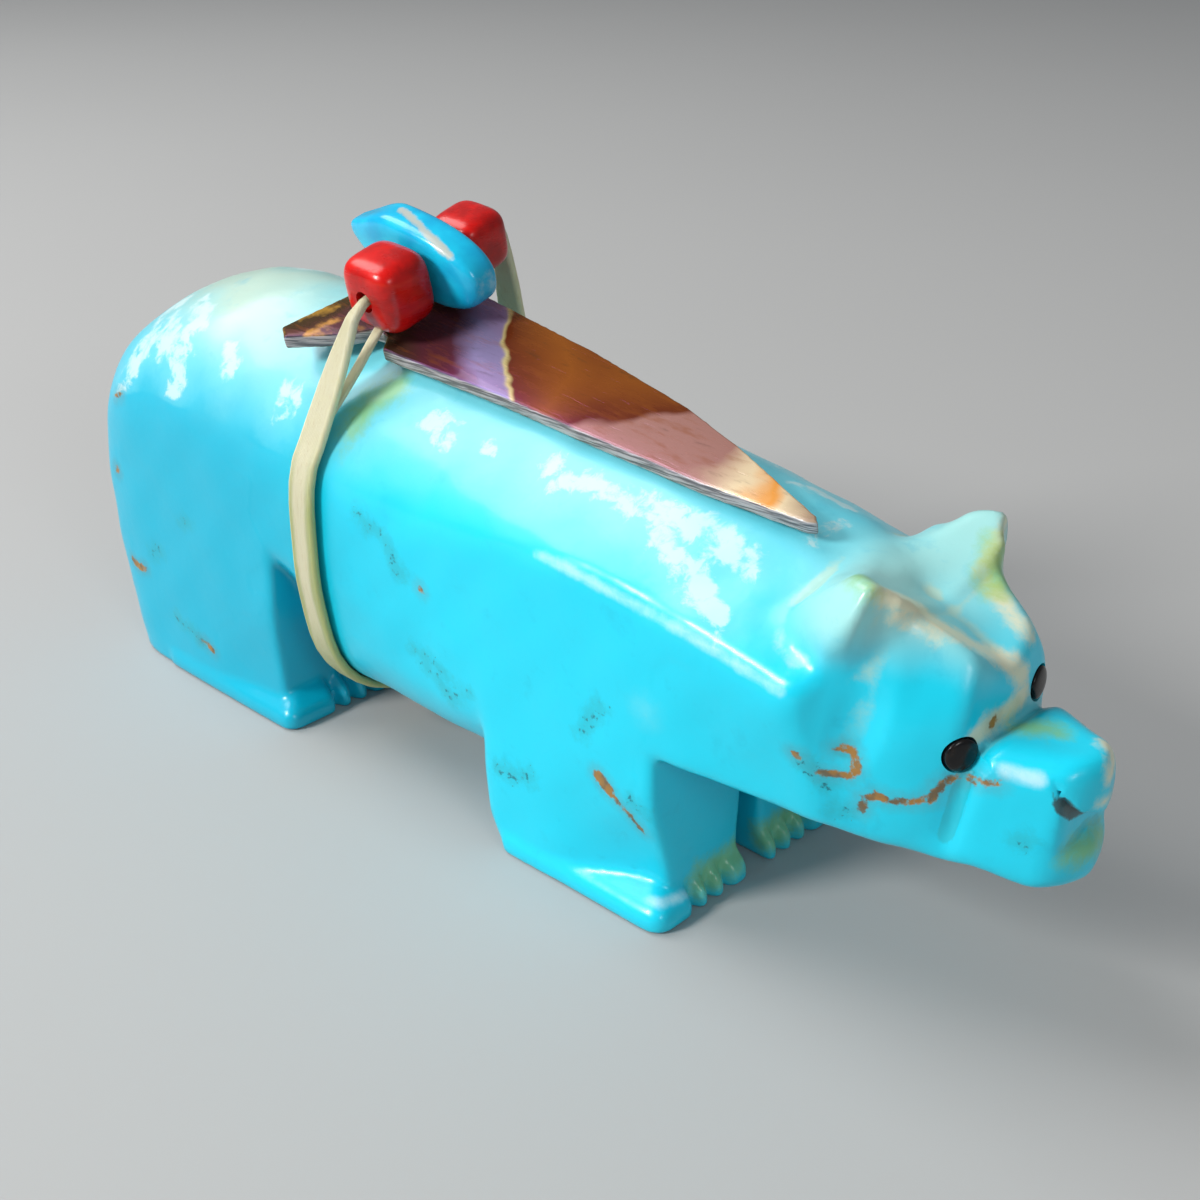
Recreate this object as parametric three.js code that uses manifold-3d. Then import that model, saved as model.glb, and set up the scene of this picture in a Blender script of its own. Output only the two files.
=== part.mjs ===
// Bear fetish: a polished turquoise bear with jet eyes, a shell arrowhead on its back,
// and a sinew tie that carries a turquoise nugget between two coral beads.
// Millimetres, +Z up, +X towards the nose, -Y the bear's right side.
// Origin: on the ground, under the middle of the bear.

import * as THREE from "three";
import { mergeVertices } from "three/addons/utils/BufferGeometryUtils.js";
import Module from "manifold-3d";

const wasm = await Module();
wasm.setup();

// Driving dimensions of the bear
const bearLength = 61.5;
const bearWidth = 15.8;
const backHeight = 22.9;

// Jet eyes, set in drilled sockets
const eyeDiameter = 1.4;
const eyeDepth = 1.3;
const eyeDome = 0.15;
const inlayClearance = 0.1;

// Shell arrowhead
const bladeLength = 25;
const bladeWidth = 6.2;
const notchWidth = 5.2;
const baseWidth = 10.9;
const baseLength = 5.4;
const plateThickness = 0.7;
const plateRoll = 15.4;
const plateYaw = -3.4;
const restClearance = 0.12;
const notchClearance = 0.3;

// Sinew tie
const tieWidth = 1.8;
const tieThickness = 0.45;
const wrapWidth = 0.6;
const wrapThickness = 0.25;
const threadDiameter = 0.5;
const bareThread = 0.5;

// Beads on the tie
const rightCoralLength = 3.2;
const rightCoralSize = 3.6;
const leftCoralLength = 2.9;
const leftCoralSize = 3.1;
const nuggetThickness = 2.1;
const nuggetLength = 9.2;
const nuggetHeight = 3.9;
const nuggetTilt = 5;
const nuggetTaper = 0.5;
const nuggetOverhang = 0.7;
const beadBore = 1.1;
const beadGap = 0.15;
const beadSeatGap = 0.1;
const coralSquareness = 4;
const nuggetSquareness = 2.8;

const radians = THREE.MathUtils.degToRad;

// Smooth maximum and minimum, whose blend is as wide as the given softness
function smoothMax(a, b, softness) {
  const overlap = Math.max(softness - Math.abs(a - b), 0) / softness;
  return Math.max(a, b) + overlap * overlap * softness / 4;
}

function smoothMin(a, b, softness) {
  return -smoothMax(-a, -b, softness);
}

function easeBetween(from, to, value) {
  const t = Math.min(Math.max((value - from) / (to - from), 0), 1);
  return t * t * (3 - 2 * t);
}

// A smooth curve through a few stations, without overshoot
function profile(stations) {
  const count = stations.length;
  const slopes = [];
  for (let i = 0; i < count - 1; i += 1) {
    const [x0, y0] = stations[i];
    const [x1, y1] = stations[i + 1];
    slopes.push((y1 - y0) / (x1 - x0));
  }
  const tangents = [slopes[0]];
  for (let i = 1; i < count - 1; i += 1) {
    const product = slopes[i - 1] * slopes[i];
    tangents.push(product <= 0 ? 0 : 2 * product / (slopes[i - 1] + slopes[i]));
  }
  tangents.push(slopes[count - 2]);
  return (value) => {
    const x = Math.min(Math.max(value, stations[0][0]), stations[count - 1][0]);
    let i = 0;
    while (i < count - 2 && x > stations[i + 1][0]) {
      i += 1;
    }
    const [x0, y0] = stations[i];
    const [x1, y1] = stations[i + 1];
    const h = x1 - x0;
    const t = (x - x0) / h;
    const keep = (1 + 2 * t) * (1 - t) * (1 - t);
    const leave = t * (1 - t) * (1 - t);
    const arrive = t * t * (t - 1);
    return keep * y0 + (1 - keep) * y1 + h * (leave * tangents[i] + arrive * tangents[i + 1]);
  };
}

// Distance to a plane through a point, positive on the side its normal shows
function facet(point, normal) {
  const size = Math.hypot(...normal);
  const [nx, ny, nz] = normal.map((part) => part / size);
  const offset = point[0] * nx + point[1] * ny + point[2] * nz;
  return (x, y, z) => x * nx + y * ny + z * nz - offset;
}

// Distance to a round-ended rod
function rod(start, end, radius) {
  const axis = end.map((part, i) => part - start[i]);
  const squared = axis.reduce((sum, part) => sum + part * part, 0);
  return (x, y, z) => {
    const px = x - start[0];
    const py = y - start[1];
    const pz = z - start[2];
    const along = (px * axis[0] + py * axis[1] + pz * axis[2]) / squared;
    const t = Math.min(Math.max(along, 0), 1);
    return Math.hypot(px - axis[0] * t, py - axis[1] * t, pz - axis[2] * t) - radius;
  };
}

// The carving is drawn below as the carver would mark it on the block: x along the bear,
// y out from its middle, z up. The bear's own length, width and height stretch the drawing.
// It runs a little below the ground, where the soles are then cut flat.
const drawn = { rump: -31.22, nose: 30.26, flank: 7.93, back: 22.85 };
const soleSpare = 0.8;
const middleRounding = 0.14;

const torso = {
  crown: profile([
    [-32, 22.7], [-22, 22.9], [-14, 22.75], [-6, 22.15], [4, 21.2], [12, 20.4], [18, 19.25], [23, 17.6],
  ]),
  shoulder: profile([
    [-31, 18], [-22, 18.5], [-15, 18.3], [-7, 17.2], [0, 16.7], [8, 16.9], [14, 16.3], [20, 15.3],
  ]),
  width: profile([[-31, 7.9], [-20, 7.9], [-10, 7.7], [0, 7.3], [10, 7.1], [20, 6.95]]),
  ridgeSoftness: 0.45,
  neckTaper: 1.2,
  neckFrom: 12,
  neckTo: 20,
  neckLow: 9,
  neckHigh: 15,
  edgeSoftness: 3.5,
  edgeSharpening: 2.8,
  sharpFrom: -14,
  sharpTo: 9,
  topSteepness: 0.8,
  rumpEnd: -31.8,
  rumpTop: facet([-29.9, 0, 19.9], [-0.74, 0, 0.67]),
  rumpCorner: facet([-30.6, 7.1, 12], [-0.7, 0.71, 0.03]),
  rumpTuck: facet([-29, 0, 0], [-0.93, 0, -0.37]),
  shoulderFront: facet([19.9, 6.9, 15.1], [0.8, 0.6, -0.03]),
  neckFront: facet([20.6, 0, 19], [1, 0, 0.35]),
};

const underside = {
  belly: 3,
  bellyWidth: profile([[2, 6.2], [6, 6.9], [9, 7.4], [12, 8.6]]),
  frontLegBack: profile([[0, 3.4], [2.3, 2.4], [6.6, 2.1], [12, 1.8]]),
  rearLegFront: profile([[0, -13.9], [2.5, -13.8], [11, -13.2]]),
  chestFront: 12.9,
  neckHeight: 9.2,
  slotHalfWidth: 0.85,
  slotHeight: 7,
  slotTaper: 0.25,
  slotOffset: 0.25,
  frontSlotStart: 4,
  rearSlotEnd: -8,
  rearLegRecess: 3.6,
  recessFrom: -13.4,
  recessTo: -9.6,
  recessTop: 11.3,
  recessFade: 8,
  frontLegInset: 1.5,
  frontInsetFrom: 5.5,
  frontInsetTo: 13,
  rearLegInset: 0.7,
  rearInsetFrom: -22,
  rearInsetTo: -13.5,
  insetFoot: 1.5,
  insetTop: 8,
  middleOfBelly: -5,
};

const feet = {
  frontToes: 13.65,
  rearToes: -12.65,
  frontHeel: 3.6,
  rearHeel: -24,
  soleThickness: 0.9,
  topSlope: 0.8,
  toeGrooves: [2, 3.15, 4.25],
  toeGrooveDepth: 0.75,
  toeGrooveWidth: 0.28,
};

const head = {
  width: profile([
    [12, 5.6], [16, 5.9], [18, 5.85], [20, 5.65], [22, 5.2], [24, 4.45], [25.6, 3.65], [27, 3.3],
  ]),
  widestHeight: 12.6,
  jowl: 0.03,
  dome: profile([[18, 0.05], [22.4, 0.054], [23.9, 0.078], [25.2, 0.088]]),
  groove: profile([[18, 18.9], [20, 18.3], [22.9, 17.3], [25.6, 15.9], [28, 14.6]]),
  grooveRounding: 0.12,
  brow: profile([[18, 19], [20, 18.9], [22.5, 18.5], [25.3, 17.2], [28, 15.6]]),
  browReach: profile([[18, 3.4], [22.5, 3], [25.3, 2.6]]),
  napeStart: 19,
  napeHeight: 14.5,
  neckStart: 12,
  browFront: facet([25.75, 0, 15.9], [0.96, 0.12, 0.23]),
  muzzleWidth: profile([
    [24, 3.5], [25.5, 3.3], [26.5, 3.1], [27.5, 2.75], [28.5, 2.35], [29.5, 2], [31, 1.5],
  ]),
  muzzleLean: 0.09,
  muzzleMiddle: 11.5,
  muzzleTop: profile([[24, 14], [26, 13.85], [28, 13.75], [30.5, 13.85]]),
  noseFront: facet([30.7, 0, 12.5], [0.97, 0.2, -0.02]),
  jawFront: facet([30.4, 0, 10.5], [0.97, 0.18, -0.05]),
  cheekFront: facet([25.75, 3.2, 12], [0.72, 0.69, 0]),
  chin: facet([29.8, 1.2, 7.7], [0.55, 0.35, -0.75]),
  jaw: profile([[12, 9.1], [18, 8.9], [22, 8.35], [25, 8.15], [26.5, 8.4], [28, 8.15], [29.5, 7.8]]),
  eyeGroove: profile([[8.5, 25.3], [13.5, 25.9], [16, 26.3]]),
  eyeGrooveLow: 7.8,
  eyeGrooveHigh: 10.5,
  eyeGrooveDepth: 0.35,
  eyeGrooveWidth: 0.45,
  mouth: profile([[28.8, 13.15], [29.15, 12.65], [29.45, 11.85], [29.75, 11.15], [30.4, 10.65]]),
  mouthHalfGap: profile([[28.5, 0.1], [29.1, 0.18], [29.5, 0.45], [29.9, 0.6], [30.5, 0.6]]),
  mouthDepth: profile([[28.5, 0.25], [29.2, 0.6], [29.8, 1.2], [30.4, 1.8]]),
  mouthCorner: 28.85,
  lip: facet([30.1, 0, 9.7], [0.8, 0.2, 0.57]),
  lipStart: 29.5,
};

const ears = {
  outer: facet([22.3, 5, 20.1], [0.6, 0.8, 0.01]),
  back: facet([22.3, 5, 20.15], [-0.34, 0.81, 0.47]),
  inner: facet([22.3, 5, 20.2], [0.2, -0.52, 0.83]),
  root: facet([21, 4.3, 20.2], [-0.7, -0.05, 0.71]),
  front: facet([23, 5, 20], [0.97, -0.1, -0.16]),
  foot: 16,
  hollow: rod([23.5, 4.5, 20.6], [22.2, 6.25, 13], 1.25),
};

function torsoField(x, y, z) {
  const half = torso.width(x);
  const spread = y / half;
  const k = torso.ridgeSoftness;
  const fall = (Math.hypot(spread, k) - k) / (Math.hypot(1, k) - k);
  const crown = torso.crown(x);
  const top = (z - (crown - (crown - torso.shoulder(x)) * fall)) * torso.topSteepness;
  const high = easeBetween(torso.neckLow, torso.neckHigh, z);
  const taper = torso.neckTaper * easeBetween(torso.neckFrom, torso.neckTo, x) * (1 - high);
  const flank = y - half + taper;
  const sharpening = torso.edgeSharpening * easeBetween(torso.sharpFrom, torso.sharpTo, x);
  let block = smoothMax(top, flank, torso.edgeSoftness - sharpening);
  block = smoothMax(block, torso.rumpEnd - x, 3);
  block = smoothMax(block, torso.rumpTop(x, y, z), 7);
  block = smoothMax(block, torso.rumpCorner(x, y, z), 3);
  block = smoothMax(block, torso.rumpTuck(x, y, z), 4);
  const front = smoothMax(torso.shoulderFront(x, y, z), torso.neckFront(x, y, z), 2);
  return { block: smoothMax(block, front, 0.6), flank };
}

// Space under the belly between the rear and front legs
function archField(x, y, z) {
  const nearRearLeg = 1 - easeBetween(underside.recessFrom, underside.recessTo, x);
  const lowness = Math.min(Math.max((underside.recessTop - z) / underside.recessFade, 0), 1);
  const recess = underside.rearLegRecess * nearRearLeg * lowness;
  const side = y - underside.bellyWidth(z) + recess;
  const belly = smoothMax(underside.belly - z, side, 5);
  const between = smoothMax(underside.rearLegFront(z) - x, x - underside.frontLegBack(z), 0.5);
  return smoothMax(between, -belly, 0.5);
}

// One pair of feet, with a slope down to the rim and grooves between the toes
function footField(x, y, z, flank, heel, toes) {
  let front = toes;
  for (const place of feet.toeGrooves) {
    front -= feet.toeGrooveDepth * Math.exp(-(((y - place) / feet.toeGrooveWidth) ** 2));
  }
  const rim = Math.max(smoothMin(-flank, front - x, 0.5), 0);
  const plan = smoothMax(x - front, flank, 0.9);
  const lid = smoothMax(heel - x, z - (feet.soleThickness + feet.topSlope * rim), 0.3);
  return smoothMax(plan, lid, 0.4);
}

// Slot between two legs, open to the end where the field along it falls
function slotField(along, y, z) {
  const half = underside.slotHalfWidth - underside.slotTaper * Math.min(z / underside.slotHeight, 1);
  return smoothMax(smoothMax(y - half, z - underside.slotHeight, 0.8), along, 0.8);
}

function headField(x, y, z) {
  const rise = z - head.widestHeight;
  const bulge = (rise > 0 ? head.dome(x) : head.jowl) * rise * rise;
  const side = (y - head.width(x) + bulge) * 0.92;
  const groove = head.groove(x);
  const reach = y / head.browReach(x);
  const k = head.grooveRounding;
  const brows = groove + (head.brow(x) - groove) * (Math.hypot(reach, k) - k) / (Math.hypot(1, k) - k);
  let skull = smoothMax((z - brows) * 0.87, side, 0.45);
  skull = smoothMax(skull, smoothMin(head.napeStart - x, z - head.napeHeight, 1), 0.8);
  skull = smoothMax(skull, head.browFront(x, y, z), 0.5);
  skull = smoothMax(skull, head.cheekFront(x, y, z), 0.8);
  const cheek = y - head.muzzleWidth(x) + head.muzzleLean * (z - head.muzzleMiddle);
  let muzzle = smoothMax(cheek, z - head.muzzleTop(x), 1.4);
  muzzle = smoothMax(muzzle, head.noseFront(x, y, z), 1.5);
  muzzle = smoothMax(muzzle, head.jawFront(x, y, z), 1.1);
  let whole = smoothMin(skull, muzzle, 0.3);
  whole = smoothMax(whole, head.jaw(x) - z, 1);
  whole = smoothMax(whole, head.chin(x, y, z), 0.8);
  whole = smoothMax(whole, head.neckStart - x, 0.5);
  const nearGroove = (x - head.eyeGroove(z)) / head.eyeGrooveWidth;
  const grooved = head.eyeGrooveDepth * easeBetween(head.eyeGrooveLow, head.eyeGrooveHigh, z);
  whole += grooved * Math.exp(-nearGroove * nearGroove);
  const lower = head.mouth(x) + head.mouthHalfGap(x) - z;
  const beforeLip = smoothMin(smoothMin(head.lip(x, y, z), lower, 0.1), x - head.lipStart, 0.1);
  whole = smoothMax(whole, beforeLip, 0.3);
  const lips = Math.abs(z - head.mouth(x)) - head.mouthHalfGap(x);
  let mouth = smoothMax(lips, head.mouthCorner - x, 0.3);
  mouth = smoothMax(mouth, -(muzzle + head.mouthDepth(x)), 0.2);
  return smoothMax(whole, -mouth, 0.15);
}

function earField(x, y, z) {
  const sheet = smoothMax(ears.back(x, y, z), ears.inner(x, y, z), 0.6);
  const face = smoothMax(ears.outer(x, y, z), ears.front(x, y, z), 0.6);
  const ear = smoothMax(sheet, smoothMax(face, ears.root(x, y, z), 2), 0.4);
  return smoothMax(ear, ears.foot - z, 2.5);
}

// Negative inside the carving
function carving(x, side, z) {
  const y = Math.hypot(side, middleRounding);
  const { block, flank } = torsoField(x, y, z);
  let bear = smoothMax(block, -archField(x, y, z), 0.5);
  const chest = smoothMax(underside.chestFront - x, z - underside.neckHeight, 0.7);
  bear = smoothMax(bear, -chest, 0.5);
  const low = 1 - easeBetween(underside.insetFoot, underside.insetTop, z);
  const front = easeBetween(underside.frontInsetFrom, underside.frontInsetTo, x);
  const rear = easeBetween(underside.rearInsetFrom, underside.rearInsetTo, x);
  const frontInset = underside.frontLegInset * front;
  const rearInset = x < underside.middleOfBelly ? underside.rearLegInset * rear : 0;
  bear = smoothMax(bear, flank + (frontInset + rearInset) * low, 0.5);
  const frontFeet = footField(x, y, z, flank, feet.frontHeel, feet.frontToes);
  const rearFeet = footField(x, y, z, flank, feet.rearHeel, feet.rearToes);
  bear = smoothMin(bear, smoothMin(frontFeet, rearFeet, 0.1), 0.35);
  const offCentre = Math.abs(side - underside.slotOffset);
  bear = smoothMax(bear, -slotField(underside.frontSlotStart - x, offCentre, z), 0.4);
  bear = smoothMax(bear, -slotField(x - underside.rearSlotEnd, y, z), 0.4);
  bear = smoothMin(bear, headField(x, y, z), 0.9);
  bear = smoothMin(bear, earField(x, y, z), 0.7);
  bear = smoothMax(bear, -ears.hollow(x, y, z), 0.4);
  return Math.max(bear, -soleSpare - z);
}

const stretch = {
  x: bearLength / (drawn.nose - drawn.rump),
  y: bearWidth / (2 * drawn.flank),
  z: backHeight / drawn.back,
};
const middle = (drawn.nose + drawn.rump) / 2;

// From the drawing to the bear, and the carving's field at a place on the bear
const placed = (x, y, z) => new THREE.Vector3((x - middle) * stretch.x, y * stretch.y, z * stretch.z);
const bearAt = (p) => carving(p.x / stretch.x + middle, p.y / stretch.y, p.z / stretch.z);

// Grid lines for the carving, close together where it is finely cut, the last ones clear of it
function gridLines(start, zones) {
  const lines = [start];
  for (const [end, step] of zones) {
    const from = lines[lines.length - 1];
    const count = Math.round((end - from) / step);
    for (let i = 1; i <= count; i += 1) {
      lines.push(from + (end - from) * i / count);
    }
  }
  return lines;
}

const clear = 0.8;
const half = gridLines(0, [
  [1.4, 0.7], [4.85, 0.575], [drawn.flank + clear, 1.25], [drawn.flank + 2 * clear, clear],
]);
const grid = {
  x: gridLines(drawn.rump - 3 * clear, [
    [-28, 1.8], [-15, 2.6], [-11.8, 0.8], [2, 2.76], [11.6, 2.4], [14.4, 0.7], [19, 1.53],
    [drawn.nose + clear, 0.82],
  ]),
  y: [...half.slice(1).reverse().map((line) => -line), ...half],
  z: gridLines(-2 * soleSpare, [
    [-0.5, 0.55], [2.7, 0.64], [8.3, 1.9], [21, 1.06], [drawn.back + clear, 0.9],
  ]),
};

// The surface where a field is zero, one corner for each grid cell that it crosses
function carvedSurface(field, lines) {
  const [nx, ny, nz] = [lines.x.length, lines.y.length, lines.z.length];
  const at = (i, j, k) => (i * ny + j) * nz + k;
  const values = new Float64Array(nx * ny * nz);
  for (let i = 0; i < nx; i += 1) {
    for (let j = 0; j < ny; j += 1) {
      for (let k = 0; k < nz; k += 1) {
        values[at(i, j, k)] = field(lines.x[i], lines.y[j], lines.z[k]);
      }
    }
  }
  const corners = new Map();
  const positions = [];
  const axes = [[1, 0, 0], [0, 1, 0], [0, 0, 1]];
  const line = (i, j, k) => [lines.x[i], lines.y[j], lines.z[k]];

  function cellCorner(i, j, k) {
    const low = line(i, j, k);
    const high = line(i + 1, j + 1, k + 1);
    const sum = [0, 0, 0];
    let crossings = 0;
    for (let axis = 0; axis < 3; axis += 1) {
      const [u, v] = [0, 1, 2].filter((other) => other !== axis);
      for (const [a, b] of [[0, 0], [1, 0], [0, 1], [1, 1]]) {
        const from = [i, j, k];
        from[u] += a;
        from[v] += b;
        const to = [...from];
        to[axis] += 1;
        const start = values[at(...from)];
        const end = values[at(...to)];
        if ((start < 0) !== (end < 0)) {
          const share = start / (start - end);
          const first = line(...from);
          const last = line(...to);
          for (let n = 0; n < 3; n += 1) {
            sum[n] += first[n] + (last[n] - first[n]) * share;
          }
          crossings += 1;
        }
      }
    }
    const point = sum.map((part) => part / crossings);
    return settled(point, low, high);
  }

  // Moves a corner onto the surface, without leaving its cell
  function settled(point, low, high) {
    const step = 0.02;
    for (let round = 0; round < 3; round += 1) {
      const value = field(...point);
      const slope = axes.map((axis) => {
        const ahead = point.map((part, n) => part + axis[n] * step);
        const behind = point.map((part, n) => part - axis[n] * step);
        return (field(...ahead) - field(...behind)) / (2 * step);
      });
      const steepness = slope.reduce((sum, part) => sum + part * part, 0);
      for (let n = 0; n < 3; n += 1) {
        const inset = 0.08 * (high[n] - low[n]);
        const moved = point[n] - value * slope[n] / Math.max(steepness, 0.2);
        point[n] = Math.min(Math.max(moved, low[n] + inset), high[n] - inset);
      }
    }
    return point;
  }

  function cornerIndex(i, j, k) {
    const key = at(i, j, k);
    if (!corners.has(key)) {
      corners.set(key, positions.length / 3);
      positions.push(...cellCorner(i, j, k));
    }
    return corners.get(key);
  }

  const distance = (a, b) => Math.hypot(...[0, 1, 2].map((n) => positions[3 * a + n] - positions[3 * b + n]));
  const faces = [];
  for (let i = 1; i < nx - 1; i += 1) {
    for (let j = 1; j < ny - 1; j += 1) {
      for (let k = 1; k < nz - 1; k += 1) {
        for (let axis = 0; axis < 3; axis += 1) {
          const next = [i, j, k];
          next[axis] += 1;
          const inside = values[at(i, j, k)] < 0;
          if (inside === (values[at(...next)] < 0)) {
            continue;
          }
          const u = axes[(axis + 1) % 3];
          const v = axes[(axis + 2) % 3];
          const around = [[1, 1], [0, 1], [0, 0], [1, 0]].map(([a, b]) => cornerIndex(
            i - a * u[0] - b * v[0],
            j - a * u[1] - b * v[1],
            k - a * u[2] - b * v[2],
          ));
          const [p, q, r, s] = inside ? around : around.reverse();
          if (distance(p, r) < distance(q, s)) {
            faces.push(p, q, r, p, r, s);
          } else {
            faces.push(q, r, s, q, s, p);
          }
        }
      }
    }
  }
  const geometry = new THREE.BufferGeometry();
  geometry.setAttribute("position", new THREE.Float32BufferAttribute(positions, 3));
  geometry.setIndex(faces);
  return geometry;
}

// Joins and cuts
function solid(geometry) {
  const bare = geometry.clone();
  bare.deleteAttribute("normal");
  bare.deleteAttribute("uv");
  const merged = mergeVertices(bare, 1e-4);
  return new wasm.Manifold(new wasm.Mesh({
    numProp: 3,
    vertProperties: new Float32Array(merged.attributes.position.array),
    triVerts: new Uint32Array(merged.index.array),
  }));
}

function geometryOf(manifold) {
  const mesh = manifold.getMesh();
  const geometry = new THREE.BufferGeometry();
  geometry.setAttribute("position", new THREE.BufferAttribute(mesh.vertProperties, 3));
  geometry.setIndex(new THREE.BufferAttribute(mesh.triVerts, 1));
  geometry.computeVertexNormals();
  return geometry;
}

// Where a line from inside the bear comes out of it
function surfacePoint(origin, direction) {
  let near = 0;
  let far = bearLength / 2;
  const at = (distance) => origin.clone().addScaledVector(direction, distance);
  while (far - near > 1e-4) {
    const between = (near + far) / 2;
    if (bearAt(at(between)) < 0) {
      near = between;
    } else {
      far = between;
    }
  }
  return at(near);
}

function surfaceNormal(point) {
  const step = 0.25;
  const slope = ["x", "y", "z"].map((axis) => {
    const ahead = point.clone();
    const behind = point.clone();
    ahead[axis] += step;
    behind[axis] -= step;
    return bearAt(ahead) - bearAt(behind);
  });
  return new THREE.Vector3(...slope).normalize();
}

// Eyes: short rods of jet with a low dome, set square to the surface. They are drilled by eye,
// the left one higher and nearer to the middle than the right.
const eyeSegments = 12;
const eyeCore = placed(23.2, 0, 13.35);
const eyePlaces = { right: placed(25.75, -3.35, 13.25), left: placed(25.7, 2.3, 14.4) };

function eyeSeat(place) {
  const point = surfacePoint(eyeCore, place.clone().sub(eyeCore).normalize());
  return { point, normal: surfaceNormal(point) };
}

function turnedOnto(geometry, seat) {
  const turn = new THREE.Quaternion().setFromUnitVectors(new THREE.Vector3(0, 1, 0), seat.normal);
  const place = new THREE.Matrix4().compose(seat.point, turn, new THREE.Vector3(1, 1, 1));
  return geometry.applyMatrix4(place);
}

function eyeGeometry(seat) {
  const radius = eyeDiameter / 2;
  const foot = inlayClearance - eyeDepth;
  const outline = [new THREE.Vector2(0, foot), new THREE.Vector2(radius, foot)];
  const domeSteps = 2;
  for (let i = 0; i <= domeSteps; i += 1) {
    const angle = i / domeSteps * Math.PI / 2;
    const reach = i === domeSteps ? 0 : radius * Math.cos(angle);
    outline.push(new THREE.Vector2(reach, eyeDome * Math.sin(angle)));
  }
  return turnedOnto(new THREE.LatheGeometry(outline, eyeSegments), seat);
}

function eyeSocket(seat) {
  const radius = eyeDiameter / 2 + inlayClearance;
  const reach = 2;
  const drill = new THREE.CylinderGeometry(radius, radius, eyeDepth + reach, eyeSegments);
  drill.translate(0, (reach - eyeDepth) / 2, 0);
  return turnedOnto(drill, seat);
}

const seats = { right: eyeSeat(eyePlaces.right), left: eyeSeat(eyePlaces.left) };

function bearGeometry() {
  const carved = carvedSurface(carving, grid);
  carved.translate(-middle, 0, 0);
  carved.scale(stretch.x, stretch.y, stretch.z);
  const floorSize = 2 * bearLength;
  const floor = new THREE.BoxGeometry(floorSize, floorSize, floorSize);
  floor.translate(0, 0, -floorSize / 2);
  const cut = solid(carved)
    .subtract(solid(floor))
    .subtract(solid(eyeSocket(seats.right)))
    .subtract(solid(eyeSocket(seats.left)));
  return geometryOf(cut);
}

// The arrowhead rests on the ridge of the back, its right side lower than its left
const plateStation = placed(-7.5, -0.4, 0);

function backHeightAt(x, y) {
  return surfacePoint(new THREE.Vector3(x, y, backHeight / 2), new THREE.Vector3(0, 0, 1)).z;
}

const platePitch = Math.atan2(
  backHeightAt(plateStation.x, plateStation.y) - backHeightAt(plateStation.x + bladeLength, plateStation.y),
  bladeLength,
);
const plateTurn = new THREE.Quaternion().setFromEuler(
  new THREE.Euler(radians(plateRoll), platePitch, radians(plateYaw), "ZYX"),
);
const plateFrame = new THREE.Matrix4().compose(
  new THREE.Vector3(plateStation.x, plateStation.y, backHeightAt(plateStation.x, plateStation.y)),
  plateTurn,
  new THREE.Vector3(1, 1, 1),
);

// Each edge of the blade and of the base, as shares of their lengths and widths
const edges = {
  right: {
    blade: [[0.985, 0.045], [0.78, 0.19], [0.556, 0.29], [0.31, 0.39], [0.015, 0.565]],
    notch: -0.8,
    base: [[0.38, 0.35], [0.83, 0.545], [1, 0.5]],
  },
  left: {
    blade: [[0.985, 0.045], [0.77, 0.26], [0.615, 0.37], [0.36, 0.435], [0.05, 0.435]],
    notch: -0.2,
    base: [[0.3, 0.3], [0.88, 0.45], [1, 0.41]],
  },
};
const notchRadius = 0.5;
const notchMouth = 0.1;
const baseHollow = 0.6;

function arrowheadOutline() {
  const edgePoints = (edge, side) => [
    ...edge.blade.map(([s, t]) => [s * bladeLength, side * t * bladeWidth]),
    [edge.notch + notchRadius, side * (notchWidth / 2 + notchMouth)],
    [edge.notch, side * notchWidth / 2],
    [edge.notch - notchRadius, side * (notchWidth / 2 + notchMouth)],
    ...edge.base.map(([s, t]) => [-s * baseLength, side * t * baseWidth]),
  ];
  const shape = new THREE.Shape();
  shape.moveTo(bladeLength, 0);
  for (const [s, t] of edgePoints(edges.left, 1)) {
    shape.lineTo(s, t);
  }
  shape.lineTo(baseHollow - baseLength, 0);
  for (const [s, t] of edgePoints(edges.right, -1).reverse()) {
    shape.lineTo(s, t);
  }
  shape.closePath();
  return shape;
}

// Height of the plate's underside over its frame, so that it just clears the back
function plateLift() {
  let lift = 0;
  for (const edge of arrowheadOutline().getSpacedPoints(80)) {
    for (let share = 0; share <= 1; share += 0.25) {
      const p = new THREE.Vector3(edge.x, edge.y * share, 0).applyMatrix4(plateFrame);
      lift = Math.max(lift, backHeightAt(p.x, p.y) - p.z);
    }
  }
  return lift + restClearance;
}

const lift = plateLift();
const plateTop = lift + plateThickness;
const plateBevel = 0.12;

function arrowheadGeometry() {
  const plate = new THREE.ExtrudeGeometry(arrowheadOutline(), {
    depth: plateThickness - 2 * plateBevel,
    bevelEnabled: true,
    bevelThickness: plateBevel,
    bevelSize: plateBevel,
    bevelOffset: -plateBevel,
    bevelSegments: 1,
  });
  plate.translate(0, 0, lift + plateBevel);
  return plate.applyMatrix4(plateFrame);
}

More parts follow.
